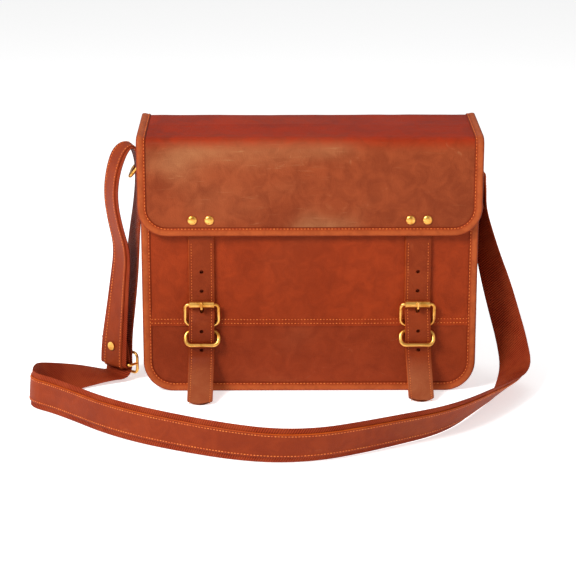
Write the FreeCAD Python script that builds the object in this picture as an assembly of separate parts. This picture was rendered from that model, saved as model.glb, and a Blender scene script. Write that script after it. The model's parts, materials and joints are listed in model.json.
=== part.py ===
"""Leather satchel bag with a fold-over flap, two buckled closure straps and a shoulder strap.

Frame: millimetres, +Z up, -Y is the front with the buckles, +X is to the right seen from the front.
The origin is the centre of the base. Every piece is one solid, or one group of like solids, in its own node.
"""
import FreeCAD, Part
import math
import os

V = FreeCAD.Vector

# ---- driving dimensions: the bag ----
bag_width = 348.0
bag_depth = 94.0
mouth_height = 258.0
back_height = 272.0
corner_radius = 32.0
leather = 2.4
gusset_inset = 5.0
gusset_leather = 2.2
binding_width = 9.5
binding_leather = 1.2
seam_height = 76.0
lining_cloth = 0.8
board_thickness = 2.0
divider_leather = 1.6
divider_y = 6.0
divider_height = 205.0

# ---- driving dimensions: the flap ----
flap_width = 354.0
flap_edge_z = 168.5
flap_front_y = -54.1
flap_fold_z = 262.5
flap_fold_radius = 8.0
flap_back_y = 50.0
flap_back_z = 278.2
flap_corner_radius = 30.0
flap_lining = 0.6
flap_mount_z = 246.0
flap_mount_rise = 2.4
flap_hinge_y, flap_hinge_z = 52.2, 277.0
flap_fold_gap = 0.3

# ---- driving dimensions: the closures ----
closure_x = 112.0
strap_width = 26.5
strap_leather = 3.0
strap_hinge_z = 165.5
strap_top_z = 200.0
rivet_z = 185.5
rivet_offset = 8.7
rivet_cap_r = 5.0
rivet_cap_height = 1.9
rivet_shank_r = 1.5
hole_r = 2.0
hole_heights = (130.0, 109.5, 67.8, 46.0)
used_hole_z = 89.9
used_hole_length = 7.0
used_hole_width = 4.4

# ---- driving dimensions: buckles and keeper rings ----
heel_y, heel_z = -51.0, 73.2
roller_y, roller_z = -55.6, 96.3
buckle_wire_r = 1.7
buckle_half_width = 17.3
buckle_heel_radius = 6.5
buckle_top_radius = 4.0
roller_r = 3.5
roller_length = 26.0
running_clearance = 0.1
prong_r = 1.3
prong_eye_width = 3.6
keeper_top_y, keeper_top_z = -50.4, 66.0
keeper_bar_y, keeper_bar_z = -56.5, 52.5
keeper_half_width = 17.2
keeper_wire_r = 2.1
keeper_radius = 6.4
chape_width = 20.0
chape_leather = 1.4
chape_low_z = 40.0
chape_clearance = 0.15
prong_slot = 5.0

# ---- driving dimensions: side rings ----
ring_wire_r = 1.9
ring_bar_z = 241.0
ring_reach = 21.5
ring_half_width = 22.3
ring_tab_radius = 4.0
ring_bow_radius = 5.0
ring_tilt = {"left": 40.0, "right": 12.0}
tab_leather = 1.3
tab_half_width = 17.0
tab_low_z = 204.0
tab_rivet_z = 212.0

# ---- driving dimensions: the shoulder strap ----
webbing_width = 38.0
webbing_thickness = 1.6
overlay_width = 26.0
overlay_thickness = 1.6
ply_gap = 0.1
slider_centre = V(-202.5, 2.2, 18.5)
slider_across = V(0.76, -0.65, 0.0)
slider_out = V(-0.65, -0.76, 0.0)
slider_half_width = 21.4
slider_half_height = 11.0
slider_corner = 5.0
slider_wire_r = 1.6
slider_bridge_r = 1.5
slider_behind = 4.2
slider_bridge = 7.3
strap_rivet_r = 4.5

# The strap's route, from the end riveted round the slider, up to the left ring, down through the slider,
# round the front on the floor and up to the right ring. Each entry is a point on the strap's middle line
# and the direction from there to the edge that lies on the floor along the front.
strap_route = (
    ((-207.2, -3.4, 44.5), (0.76, -0.65, 0.0)),
    ((-205.6, -1.5, 33.5), (0.76, -0.65, 0.0)),
    ((-205.0, -0.7, 21.5), (0.76, -0.65, 0.0)),
    ((-205.0, -0.7, 14.9), (0.76, -0.65, 0.0)),
    ((-209.5, -6.0, 14.9), (0.76, -0.65, 0.0)),
    ((-209.5, -6.0, 22.5), (0.76, -0.65, 0.0)),
    ((-208.3, -6.0, 42.0), (0.74, -0.67, 0.0)),
    ((-205.0, -5.5, 72.0), (0.66, -0.75, 0.0)),
    ((-201.5, -5.0, 106.0), (0.58, -0.81, 0.0)),
    ((-197.5, -5.0, 142.0), (0.52, -0.85, 0.0)),
    ((-204.5, -5.0, 170.0), (0.48, -0.88, 0.0)),
    ((-208.8, -5.0, 198.0), (0.45, -0.89, 0.0)),
    ((-206.5, -4.8, 224.0), (0.44, -0.90, 0.0)),
    ((-198.5, -3.0, 249.0), (0.46, -0.89, 0.0)),
    ((-185.0, -0.5, 257.0), (0.32, -0.95, 0.0)),
    ((-179.6, 0.0, 240.0), (0.20, -0.98, 0.0)),
    ((-178.2, 0.0, 218.0), (0.20, -0.98, 0.0)),
    ((-180.0, 1.8, 190.0), (0.25, -0.97, 0.0)),
    ((-183.6, 4.0, 158.0), (0.35, -0.94, 0.0)),
    ((-187.2, 4.0, 120.0), (0.42, -0.91, 0.0)),
    ((-192.4, 3.8, 85.0), (0.50, -0.87, 0.0)),
    ((-199.6, 3.0, 52.0), (0.66, -0.75, 0.0)),
    ((-202.4, 2.4, 28.5), (0.76, -0.65, 0.0)),
    ((-202.5, 2.2, 12.0), (0.76, -0.65, 0.0)),
    ((-206.0, -2.6, 3.4), (0.66, -0.75, 0.0)),
    ((-220.0, -9.5, 5.6), (0.46, -0.87, -0.10)),
    ((-238.0, -20.0, 8.6), (0.46, -0.82, -0.34)),
    ((-256.0, -36.0, 12.0), (0.46, -0.68, -0.57)),
    ((-273.5, -58.5, 17.0), (0.42, -0.40, -0.80)),
    ((-287.5, -84.0, 20.0), (-0.10, -0.08, -0.97)),
    ((-284.5, -105.0, 20.0), (-0.04, 0.0, -1.0)),
    ((-262.0, -123.0, 20.0), (0.0, 0.0, -1.0)),
    ((-236.0, -150.0, 20.0), (0.0, 0.0, -1.0)),
    ((-208.0, -181.0, 20.0), (0.0, 0.0, -1.0)),
    ((-172.0, -211.0, 20.0), (0.0, 0.0, -1.0)),
    ((-130.0, -236.0, 19.6), (0.0, 0.05, -1.0)),
    ((-84.0, -260.0, 19.5), (0.0, 0.12, -0.99)),
    ((-38.0, -274.0, 19.2), (0.0, 0.22, -0.97)),
    ((6.0, -269.5, 18.9), (0.0, 0.28, -0.96)),
    ((48.0, -248.5, 18.7), (0.0, 0.32, -0.95)),
    ((88.0, -224.0, 18.4), (-0.06, 0.36, -0.93)),
    ((124.0, -200.5, 18.0), (-0.18, 0.38, -0.91)),
    ((153.0, -167.5, 17.2), (-0.32, 0.40, -0.86)),
    ((177.0, -128.0, 16.3), (-0.50, 0.38, -0.76)),
    ((198.0, -92.0, 14.4), (-0.58, 0.46, -0.66)),
    ((212.5, -56.0, 14.6), (-0.68, 0.60, -0.42)),
    ((220.5, -23.0, 21.0), (-0.74, 0.63, -0.24)),
    ((217.0, -6.0, 45.0), (-0.78, 0.59, -0.20)),
    ((209.0, 0.0, 73.0), (-0.78, 0.59, -0.20)),
    ((200.5, 2.0, 103.0), (-0.74, 0.63, -0.20)),
    ((191.0, 3.0, 135.0), (-0.60, 0.78, -0.15)),
    ((184.6, 3.0, 165.0), (-0.42, 0.90, -0.08)),
    ((181.9, 1.5, 190.0), (-0.20, 0.98, 0.0)),
    ((182.8, 0.3, 208.0), (-0.08, 1.0, 0.0)),
    ((182.8, 0.0, 218.0), (0.0, 1.0, 0.0)),
    ((182.8, 0.0, 225.8), (0.0, 1.0, 0.0)),
    ((173.0, 0.0, 225.8), (0.0, 1.0, 0.0)),
    ((173.0, 0.0, 216.0), (0.0, 1.0, 0.0)),
    ((175.8, 0.6, 204.0), (-0.06, 1.0, 0.0)),
    ((178.7, 1.5, 189.5), (-0.16, 0.99, 0.0)),
)
steps_per_point = 3
sections_per_run = 29
tight_bend = 25.0

# ---- worked-out sizes ----
half_depth = bag_depth / 2
panel_back = half_depth - leather
binding_front = half_depth + binding_leather
gusset_half = bag_width / 2 - gusset_inset
gusset_radius = corner_radius - gusset_inset + 3.0
lining_half = gusset_half - gusset_leather - 0.2
lining_radius = gusset_radius - gusset_leather - 2.8
board_z = gusset_leather + 0.1
lining_z = board_z + board_thickness + 0.2
flap_half = flap_width / 2
flap_inner_y = flap_front_y + leather
flap_mount_y = half_depth + binding_leather + 0.2
ring_bar_x = gusset_half + tab_leather + chape_clearance + ring_wire_r
above = 60.0


def outline(half, bottom, top, radius):
    """A face in the XZ plane: straight sides, an open-looking square top and two round bottom corners."""
    diagonal = radius * (1 - math.sqrt(0.5))
    corners = [
        V(-half, 0, top),
        V(-half, 0, bottom + radius),
        V(-half + diagonal, 0, bottom + diagonal),
        V(-half + radius, 0, bottom),
        V(half - radius, 0, bottom),
        V(half - diagonal, 0, bottom + diagonal),
        V(half, 0, bottom + radius),
        V(half, 0, top),
    ]
    edges = [
        Part.makeLine(corners[0], corners[1]),
        Part.Arc(corners[1], corners[2], corners[3]).toShape(),
        Part.makeLine(corners[3], corners[4]),
        Part.Arc(corners[4], corners[5], corners[6]).toShape(),
        Part.makeLine(corners[6], corners[7]),
        Part.makeLine(corners[7], corners[0]),
    ]
    return Part.Face(Part.Wire(edges))


def plate(half, bottom, top, radius, y_from, y_to):
    """An outline given a thickness along Y."""
    face = outline(half, bottom, top, radius)
    face.translate(V(0, y_from, 0))
    return face.extrude(V(0, y_to - y_from, 0))


def box(x_from, x_to, y_from, y_to, z_from, z_to):
    return Part.makeBox(x_to - x_from, y_to - y_from, z_to - z_from, V(x_from, y_from, z_from))


def cylinder(radius, start, end):
    return Part.makeCylinder(radius, (end - start).Length, start, end - start)


def u_binding(half, bottom, top, radius, face_y, outward, depth):
    """Folded edge binding of a panel: a band on its face and a thinner layer round its edge, depth wide.

    face_y is the panel's face, and outward is -1 or 1, the side of the panel that the band lies on."""
    out_y = face_y + outward * binding_leather
    in_y = face_y - outward * depth
    inner = binding_width
    band = plate(half, bottom, top, radius, min(face_y, out_y), max(face_y, out_y))
    band = band.cut(plate(half - inner, bottom + inner, top + above, radius - inner, -above * 2, above * 2))
    edge = plate(half, bottom, top, radius, min(in_y, face_y), max(in_y, face_y))
    skin = binding_leather
    edge = edge.cut(plate(half - skin, bottom + skin, top + above, radius - skin, -above * 2, above * 2))
    return band.fuse(edge).removeSplitter()


def side_profile(points, x_from, x_to):
    """A solid of a closed outline in the YZ plane. An entry is (y, z), or ((y, z), (y, z)): the middle and
    the end of an arc."""
    edges = []
    here = V(x_from, *points[0])
    for entry in list(points[1:]) + [points[0]]:
        if isinstance(entry[0], tuple):
            middle, end = V(x_from, *entry[0]), V(x_from, *entry[1])
            edges.append(Part.Arc(here, middle, end).toShape())
        else:
            end = V(x_from, *entry)
            edges.append(Part.makeLine(here, end))
        here = end
    return Part.Face(Part.Wire(edges)).extrude(V(x_to - x_from, 0, 0))


def arc_middle(centre_y, centre_z, radius):
    """The middle of the quarter arc that turns from the top to the front."""
    reach = radius * math.sqrt(0.5)
    return (centre_y - reach, centre_z + reach)


def wire_ring(centre, across, down, half_width, height, first_radius, second_radius, wire_r):
    """A closed wire ring in one plane. Its first bar is centred on centre, along across; the second lies
    height further along down."""
    k = 1 - math.sqrt(0.5)

    def at(u, v):
        return centre + across * u + down * v

    a, b = first_radius, second_radius
    w, h = half_width, height
    edges = [
        Part.makeLine(at(-(w - a), 0), at(w - a, 0)),
        Part.Arc(at(w - a, 0), at(w - a * k, a * k), at(w, a)).toShape(),
        Part.makeLine(at(w, a), at(w, h - b)),
        Part.Arc(at(w, h - b), at(w - b * k, h - b * k), at(w - b, h)).toShape(),
        Part.makeLine(at(w - b, h), at(-(w - b), h)),
        Part.Arc(at(-(w - b), h), at(-(w - b * k), h - b * k), at(-w, h - b)).toShape(),
        Part.makeLine(at(-w, h - b), at(-w, a)),
        Part.Arc(at(-w, a), at(-(w - a * k), a * k), at(-(w - a), 0)).toShape(),
    ]
    path = Part.Wire(edges)
    section = Part.Wire(Part.makeCircle(wire_r, at(-(w - a), 0), across))
    return Part.Wire(path).makePipeShell([section], True, False)


def mirrored(shape):
    return shape.mirror(V(0, 0, 0), V(1, 0, 0))


# ---- the bag's body ----
def front_panel_lower():
    whole = plate(bag_width / 2 - binding_leather, binding_leather, mouth_height,
                  corner_radius - binding_leather, -half_depth, -panel_back)
    return whole.common(box(-300, 300, -100, 100, -10, seam_height))


def front_panel_upper():
    half = bag_width / 2 - binding_leather
    return box(-half, half, -half_depth, -panel_back, seam_height, mouth_height)


def back_panel():
    return plate(bag_width / 2 - binding_leather, binding_leather, back_height,
                 corner_radius - binding_leather, panel_back, half_depth)


def gusset():
    outer = plate(gusset_half, 0, mouth_height, gusset_radius, -panel_back, panel_back)
    skin = gusset_leather
    return outer.cut(plate(gusset_half - skin, skin, mouth_height + above, gusset_radius - skin, -200, 200))


def front_binding():
    return u_binding(bag_width / 2, 0, mouth_height, corner_radius, -half_depth, -1, leather)


def back_binding():
    return u_binding(bag_width / 2, 0, back_height, corner_radius, half_depth, 1, leather)


def mouth_binding():
    """Folded over the front panel's top edge, between the side bindings."""
    half = bag_width / 2 - binding_width - 0.5
    low = mouth_height - binding_width
    front = box(-half, half, -binding_front, -half_depth, low, mouth_height + binding_leather)
    top = box(-half, half, -half_depth, -panel_back, mouth_height, mouth_height + binding_leather)
    return front.fuse(top).removeSplitter()


def lining():
    depth = panel_back - 0.1
    outer = plate(lining_half, lining_z, mouth_height - 1, lining_radius, -depth, depth)
    inner = plate(lining_half - lining_cloth, lining_z + lining_cloth, mouth_height + above,
                  lining_radius - lining_cloth, -depth + lining_cloth, depth - lining_cloth)
    return outer.cut(inner)


def base_board():
    half = gusset_half - gusset_radius
    return box(-half, half, -panel_back + 1, panel_back - 1, board_z, board_z + board_thickness)


def divider():
    gap = lining_cloth + 0.2
    return plate(lining_half - gap, lining_z + gap, divider_height, lining_radius - gap,
                 divider_y, divider_y + divider_leather)


# ---- the flap ----
def flap_mount():
    half = flap_half - binding_leather
    return box(-half, half, flap_mount_y, flap_mount_y + leather, flap_mount_z, back_height + flap_mount_rise)


def flap_top_profile(outer, inner):
    """The flap's top and its rounded fold, between two layers; outer and inner are heights above its skin."""
    fold_y = flap_front_y + flap_fold_radius
    big, small = flap_fold_radius + outer, flap_fold_radius + inner
    return [
        (flap_back_y, flap_back_z + outer),
        (fold_y, flap_fold_z + big),
        (arc_middle(fold_y, flap_fold_z, big), (fold_y - big, flap_fold_z)),
        (fold_y - small, flap_fold_z),
        (arc_middle(fold_y, flap_fold_z, small), (fold_y, flap_fold_z + small)),
        (flap_back_y, flap_back_z + inner),
    ]


def flap_top():
    half = flap_half - binding_leather
    return side_profile(flap_top_profile(0, -leather), -half, half)


def flap_top_lining():
    half = flap_half - binding_width
    low = -leather - flap_lining
    return side_profile(flap_top_profile(-leather - 0.02, low), -half, half)


def flap_top_binding():
    half = flap_half - binding_leather
    band = side_profile(flap_top_profile(binding_leather, 0), flap_half - binding_width, half)
    edge = side_profile(flap_top_profile(binding_leather, -leather), half, flap_half)
    right = band.fuse(edge).removeSplitter()
    return Part.makeCompound([right, mirrored(right)])


def rivet_places(side):
    return [V(side * closure_x + dx, 0, rivet_z) for dx in (-rivet_offset, rivet_offset)]


def drilled(shape):
    for side in (-1, 1):
        for place in rivet_places(side):
            start, end = V(place.x, -80, place.z), V(place.x, 0, place.z)
            shape = shape.cut(cylinder(rivet_shank_r, start, end))
    return shape


def flap_front():
    skin = binding_leather
    whole = plate(flap_half - skin, flap_edge_z + skin, flap_fold_z - flap_fold_gap,
                  flap_corner_radius - skin, flap_front_y, flap_inner_y)
    return drilled(whole)


def flap_front_lining():
    inset = binding_width
    whole = plate(flap_half - inset, flap_edge_z + inset, flap_fold_z - flap_fold_gap,
                  flap_corner_radius - inset, flap_inner_y + 0.02, flap_inner_y + flap_lining)
    return drilled(whole)


def flap_front_binding():
    return u_binding(flap_half, flap_edge_z, flap_fold_z - flap_fold_gap, flap_corner_radius,
                     flap_front_y, -1, leather)


def flap_rivets(side):
    """Domed caps in front of the flap, with shanks through the flap and the strap's riveted end."""
    solids = []
    for place in rivet_places(side):
        x, z = place.x, place.z
        cap_sphere_r = (rivet_cap_r ** 2 + rivet_cap_height ** 2) / (2 * rivet_cap_height)
        centre = V(x, flap_front_y + cap_sphere_r - rivet_cap_height, z)
        cap = Part.makeSphere(cap_sphere_r, centre)
        cap = cap.common(box(x - 9, x + 9, flap_front_y - 9, flap_front_y, z - 9, z + 9))
        shank = cylinder(rivet_shank_r, V(x, flap_front_y, z), V(x, strap_back_y(), z))
        solids.append(cap.fuse(shank).removeSplitter())
    return Part.makeCompound(solids)


# ---- closure straps ----
def strap_back_y():
    return flap_inner_y + flap_lining + 0.2 + strap_leather


def closure_strap_anchor(side):
    """The strap's end that is riveted behind the flap."""
    x = side * closure_x
    half = strap_width / 2
    low = strap_hinge_z + 1.5
    front = strap_back_y() - strap_leather
    return drilled(box(x - half, x + half, front, strap_back_y(), low, strap_top_z))


def strap_line(side):
    """Middle line of the hanging strap in the YZ plane: behind the roller, over the heel bar, behind the
    keeper's front bar and out onto the floor."""
    middle = strap_back_y() - strap_leather / 2
    reach = -97.5 if side < 0 else -88.5
    lean = 0.0 if side < 0 else 3.0
    return [
        (middle, strap_hinge_z + 1.0),
        (middle - 0.1, 135.0),
        (middle - 0.4, 112.0),
        (-50.2, 97.0),
        (-52.6, 86.0),
        (-56.3, 74.5),
        (-55.9, 66.0),
        (-52.1, 52.5),
        (-51.6, 40.0),
        (-57.2, 31.0),
        (-69.5 + lean, 20.5 - lean / 2),
        (-83.5 + 2 * lean, 11.0 - lean / 2),
        (reach, 1.6),
    ]


def offset_line(line, distance):
    """Points at a distance to the left of a line of (y, z) points."""
    moved = []
    for i, (y, z) in enumerate(line):
        before = line[max(i - 1, 0)]
        after = line[min(i + 1, len(line) - 1)]
        dy, dz = after[0] - before[0], after[1] - before[1]
        long = math.hypot(dy, dz)
        moved.append((y - dz / long * distance, z + dy / long * distance))
    return moved


def smooth_edge(points, x):
    curve = Part.BSplineCurve()
    curve.interpolate([V(x, y, z) for y, z in points])
    return curve.toShape()


def closure_strap(side):
    """One leather strap with its row of holes; the buckled hole is drawn out long by the prong."""
    x = side * closure_x
    start = x - strap_width / 2
    line = strap_line(side)
    front = offset_line(line, -strap_leather / 2)
    back = offset_line(line, strap_leather / 2)
    first, last = smooth_edge(front, start), smooth_edge(back, start)
    ends = [Part.makeLine(V(start, *front[i]), V(start, *back[i])) for i in (0, -1)]
    face = Part.Face(Part.Wire([first, ends[1], last.reversed(), ends[0]]))
    strap = face.extrude(V(strap_width, 0, 0))
    for z in hole_heights:
        strap = strap.cut(cylinder(hole_r, V(x, -80, z), V(x, -40, z)))
    half, low = used_hole_width / 2, used_hole_z - used_hole_length / 2
    slot = box(x - half, x + half, -80, -40, low + half, low + used_hole_length - half)
    for z in (low + half, low + used_hole_length - half):
        slot = slot.fuse(cylinder(half, V(x, -80, z), V(x, -40, z)))
    return strap.cut(slot)


# ---- buckles and keeper rings ----
def buckle_frame(side):
    x = side * closure_x
    heel, top = V(x, heel_y, heel_z), V(x, roller_y, roller_z)
    rise = top - heel
    return wire_ring(heel, V(1, 0, 0), rise.normalize(), buckle_half_width, (top - heel).Length,
                     buckle_heel_radius, buckle_top_radius, buckle_wire_r)


def buckle_roller(side):
    start = V(side * closure_x - roller_length / 2, roller_y, roller_z)
    end = start + V(roller_length, 0, 0)
    return cylinder(roller_r, start, end).cut(cylinder(buckle_wire_r + running_clearance, start, end))


def prong_line():
    """The prong in the YZ plane, from its eye behind the strap, through the hole, to rest on the roller."""
    front = roller_y - roller_r - prong_r - running_clearance
    return [(heel_y + 1.2, heel_z + 3.0), (-49.2, 87.0), (-52.4, 89.6), (front, 93.2), (front, 99.0)]


def prong(side):
    """A bent wire with a flat eye round the heel bar."""
    x = side * closure_x
    points = [V(x, y, z) for y, z in prong_line()]
    pieces = [cylinder(prong_r, a, b) for a, b in zip(points, points[1:])]
    pieces += [Part.makeSphere(prong_r, p) for p in points]
    half = prong_eye_width / 2
    start, end = V(x - half, heel_y, heel_z), V(x + half, heel_y, heel_z)
    eye = cylinder(buckle_wire_r + running_clearance + 1.3, start, end)
    whole = eye.multiFuse(pieces)
    return whole.cut(cylinder(buckle_wire_r + running_clearance, start, end)).removeSplitter()


def keeper_ring(side):
    x = side * closure_x
    top, low = V(x, keeper_top_y, keeper_top_z), V(x, keeper_bar_y, keeper_bar_z)
    drop = low - top
    return wire_ring(top, V(1, 0, 0), drop.normalize(), keeper_half_width, (low - top).Length,
                     keeper_radius, keeper_radius, keeper_wire_r)


def chape(side):
    """Leather tab sewn on the front panel, folded round the heel bar and round the keeper's upper bar."""
    x = side * closure_x
    half = chape_width / 2
    whole = box(x - half, x + half, -half_depth - chape_leather, -half_depth, chape_low_z, heel_z)
    bars = ((heel_y, heel_z, buckle_wire_r + chape_clearance),
            (keeper_top_y, keeper_top_z, keeper_wire_r + chape_clearance))
    for y, z, bore_r in bars:
        whole = whole.fuse(cylinder(bore_r + chape_leather, V(x - half, y, z), V(x + half, y, z)))
    for y, z, bore_r in bars:
        whole = whole.cut(cylinder(bore_r, V(x - half, y, z), V(x + half, y, z)))
    slot = prong_slot / 2
    whole = whole.cut(box(x - slot, x + slot, -70, -half_depth, heel_z - 3.4, heel_z + 8))
    return whole.common(box(x - half, x + half, -70, -half_depth, 0, 200)).removeSplitter()


# ---- side rings and their tabs ----
def ring_direction(name):
    side = -1 if name == "left" else 1
    tilt = math.radians(ring_tilt[name])
    return V(side * math.sin(tilt), 0, -math.cos(tilt))


def side_ring(name):
    side = -1 if name == "left" else 1
    bar = V(side * ring_bar_x, 0, ring_bar_z)
    return wire_ring(bar, V(0, 1, 0), ring_direction(name), ring_half_width, ring_reach,
                     ring_tab_radius, ring_bow_radius, ring_wire_r)


def side_tab(side):
    """Leather folded round the ring's bar and riveted flat to the gusset."""
    wide = tab_half_width
    bore_r = ring_wire_r + chape_clearance
    strip = box(gusset_half, gusset_half + tab_leather, -wide, wide, tab_low_z, ring_bar_z)
    start, end = V(ring_bar_x, -wide, ring_bar_z), V(ring_bar_x, wide, ring_bar_z)
    whole = strip.fuse(cylinder(bore_r + tab_leather, start, end)).cut(cylinder(bore_r, start, end))
    for y in (-wide / 2, wide / 2):
        hole = cylinder(rivet_shank_r, V(0, y, tab_rivet_z), V(300, y, tab_rivet_z))
        whole = whole.cut(hole)
    whole = whole.removeSplitter()
    return whole if side > 0 else mirrored(whole)


def side_tab_rivets():
    """Flat rivets through both tabs, two on each side."""
    solids = []
    skin = gusset_half + tab_leather
    for y in (-tab_half_width / 2, tab_half_width / 2):
        shank = cylinder(rivet_shank_r, V(gusset_half, y, tab_rivet_z), V(skin, y, tab_rivet_z))
        head = cylinder(3.2, V(skin, y, tab_rivet_z), V(skin + 0.7, y, tab_rivet_z))
        rivet = shank.fuse(head).removeSplitter()
        solids += [rivet, mirrored(rivet)]
    return Part.makeCompound(solids)


# ---- shoulder strap ----
def strap_samples():
    """Points, headings and edge directions along the strap: the smooth curve that the route's points pull."""
    points = [V(*p) for p, _ in strap_route]
    edges = [V(*e) for _, e in strap_route]
    samples = []
    last = len(points) - 2
    for i in range(1, last + 1):
        ends = []
        for row in (points, edges):
            start = row[0] if i == 1 else (row[i - 1] + row[i]) * 0.5
            end = row[-1] if i == last else (row[i] + row[i + 1]) * 0.5
            ends.append((start, row[i], end))
        (a, b, c), (d, e, f) = ends
        for k in range(steps_per_point + (i == last)):
            t = k / steps_per_point
            point = a * (1 - t) ** 2 + b * (2 * t * (1 - t)) + c * t ** 2
            heading = (b - a) * (1 - t) + (c - b) * t
            edge = d * (1 - t) ** 2 + e * (2 * t * (1 - t)) + f * t ** 2
            heading.normalize()
            edge = edge - heading * edge.dot(heading)
            edge.normalize()
            samples.append((point, heading, edge))
    return samples


def strap_radii(samples):
    """The radius of the strap's middle line at each sample, from its neighbours' headings."""
    radii = []
    for before, here, after in zip(samples, samples[1:], samples[2:]):
        run = (after[0] - before[0]).Length
        turn = before[1].getAngle(after[1])
        radii.append((here[0], run / turn if turn > 1e-6 else 1e6))
    return radii


def ribbon(width, low, high):
    """A flat ply that follows the strap, between two heights above its middle line, on its outer side.

    It is made in runs that meet face to face, and joined into one solid."""
    sections = []
    for point, heading, edge in strap_samples():
        out = edge.cross(heading)
        reach = edge * (width / 2)
        corners = [point + reach + out * low, point + reach + out * high,
                   point - reach + out * high, point - reach + out * low]
        sections.append(Part.makePolygon(corners + corners[:1]))
    starts = range(0, len(sections) - 1, sections_per_run)
    runs = [Part.makeLoft(sections[i:i + sections_per_run + 1], True, True) for i in starts]
    return runs[0].multiFuse(runs[1:])


def strap_webbing():
    return ribbon(webbing_width, -webbing_thickness, -ply_gap / 2)


def strap_overlay():
    return ribbon(overlay_width, ply_gap / 2, overlay_thickness)


def strap_slider():
    """A wire loop behind the strap, with a bar bridged over the front that the strap's end is riveted round."""
    across, out = V(slider_across).normalize(), V(slider_out).normalize()
    up = V(0, 0, 1)
    back = slider_centre - out * slider_behind
    bridge = slider_centre + out * slider_bridge
    top = back + up * slider_half_height
    loop = wire_ring(top, across, V(0, 0, -1), slider_half_width, slider_half_height * 2,
                     slider_corner, slider_corner, slider_wire_r)
    left, right = across * -slider_half_width, across * slider_half_width
    pieces = [cylinder(slider_bridge_r, bridge + left, bridge + right)]
    for end in (left, right):
        pieces.append(cylinder(slider_bridge_r, back + end, bridge + end))
        pieces.append(Part.makeSphere(slider_bridge_r, bridge + end))
    return loop.multiFuse(pieces).removeSplitter()


def strap_rivet(place, out, length):
    """A capped rivet through both layers of a folded strap end: two caps, held at their distance."""
    cap_height = 1.2
    caps = [cylinder(strap_rivet_r, place, place + out * cap_height)]
    far = place - out * length
    caps.append(cylinder(strap_rivet_r - 1, far - out * cap_height, far))
    return Part.makeCompound(caps)


def strap_rivet_left():
    out = V(slider_out).normalize()
    place = slider_centre + out * 12.6 + V(0, 0, 19.0)
    return strap_rivet(place, out, 9.0)


def strap_rivet_right():
    out = V(0.99, 0.14, 0).normalize()
    return strap_rivet(V(184.5, 1.3, 195.3), out, 10.0)


def build():
    nodes = {
        "front_panel_lower": front_panel_lower(),
        "front_panel_upper": front_panel_upper(),
        "back_panel": back_panel(),
        "gusset": gusset(),
        "front_binding": front_binding(),
        "back_binding": back_binding(),
        "mouth_binding": mouth_binding(),
        "lining": lining(),
        "base_board": base_board(),
        "divider": divider(),
        "flap_mount": flap_mount(),
        "flap_top": flap_top(),
        "flap_top_lining": flap_top_lining(),
        "flap_top_binding": flap_top_binding(),
        "flap_front": flap_front(),
        "flap_front_lining": flap_front_lining(),
        "flap_front_binding": flap_front_binding(),
        "side_tab_rivets": side_tab_rivets(),
        "strap_webbing": strap_webbing(),
        "strap_overlay": strap_overlay(),
        "strap_slider": strap_slider(),
        "strap_rivet_left": strap_rivet_left(),
        "strap_rivet_right": strap_rivet_right(),
    }
    for name, side in (("left", -1), ("right", 1)):
        nodes["flap_rivets_" + name] = flap_rivets(side)
        nodes["closure_strap_anchor_" + name] = closure_strap_anchor(side)
        nodes["closure_strap_" + name] = closure_strap(side)
        nodes["buckle_frame_" + name] = buckle_frame(side)
        nodes["buckle_roller_" + name] = buckle_roller(side)
        nodes["buckle_prong_" + name] = prong(side)
        nodes["keeper_ring_" + name] = keeper_ring(side)
        nodes["chape_" + name] = chape(side)
        nodes["side_tab_" + name] = side_tab(side)
        nodes["side_ring_" + name] = side_ring(name)
    return nodes


os.makedirs("parts", exist_ok=True)
for node, shape in sorted(build().items()):
    shape.exportStep("parts/" + node + ".step")
    low, high = shape.BoundBox.ZMin, shape.BoundBox.ZMax
    print(f"{node:26s} solids {len(shape.Solids)} valid {shape.isValid()} volume {shape.Volume:9.0f} "
          f"z {low:6.1f} to {high:6.1f}")
samples = strap_samples()
length = sum((b[0] - a[0]).Length for a, b in zip(samples, samples[1:]))
ply_volume = length * webbing_width * (webbing_thickness - ply_gap / 2)
print(f"strap length {length:.0f} mm, webbing ply {ply_volume:.0f} mm3")
for place, radius in strap_radii(samples):
    if radius < tight_bend:
        print(f"strap bend radius {radius:5.1f} mm at ({place.x:.0f}, {place.y:.0f}, {place.z:.0f})")
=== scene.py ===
# %% [markdown]
# # A leather satchel bag
# The frame comes packed: its bodies, joints and solids are fixed. This script loads it and makes every soft
# piece of the bag again as a sewn thing, and its brass as bent wire and turned pieces, in metres and in the
# same frame: +Z up, the front at -Y.

# %% Load the frame
import bpy
import json
import math
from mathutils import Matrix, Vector, noise


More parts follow.
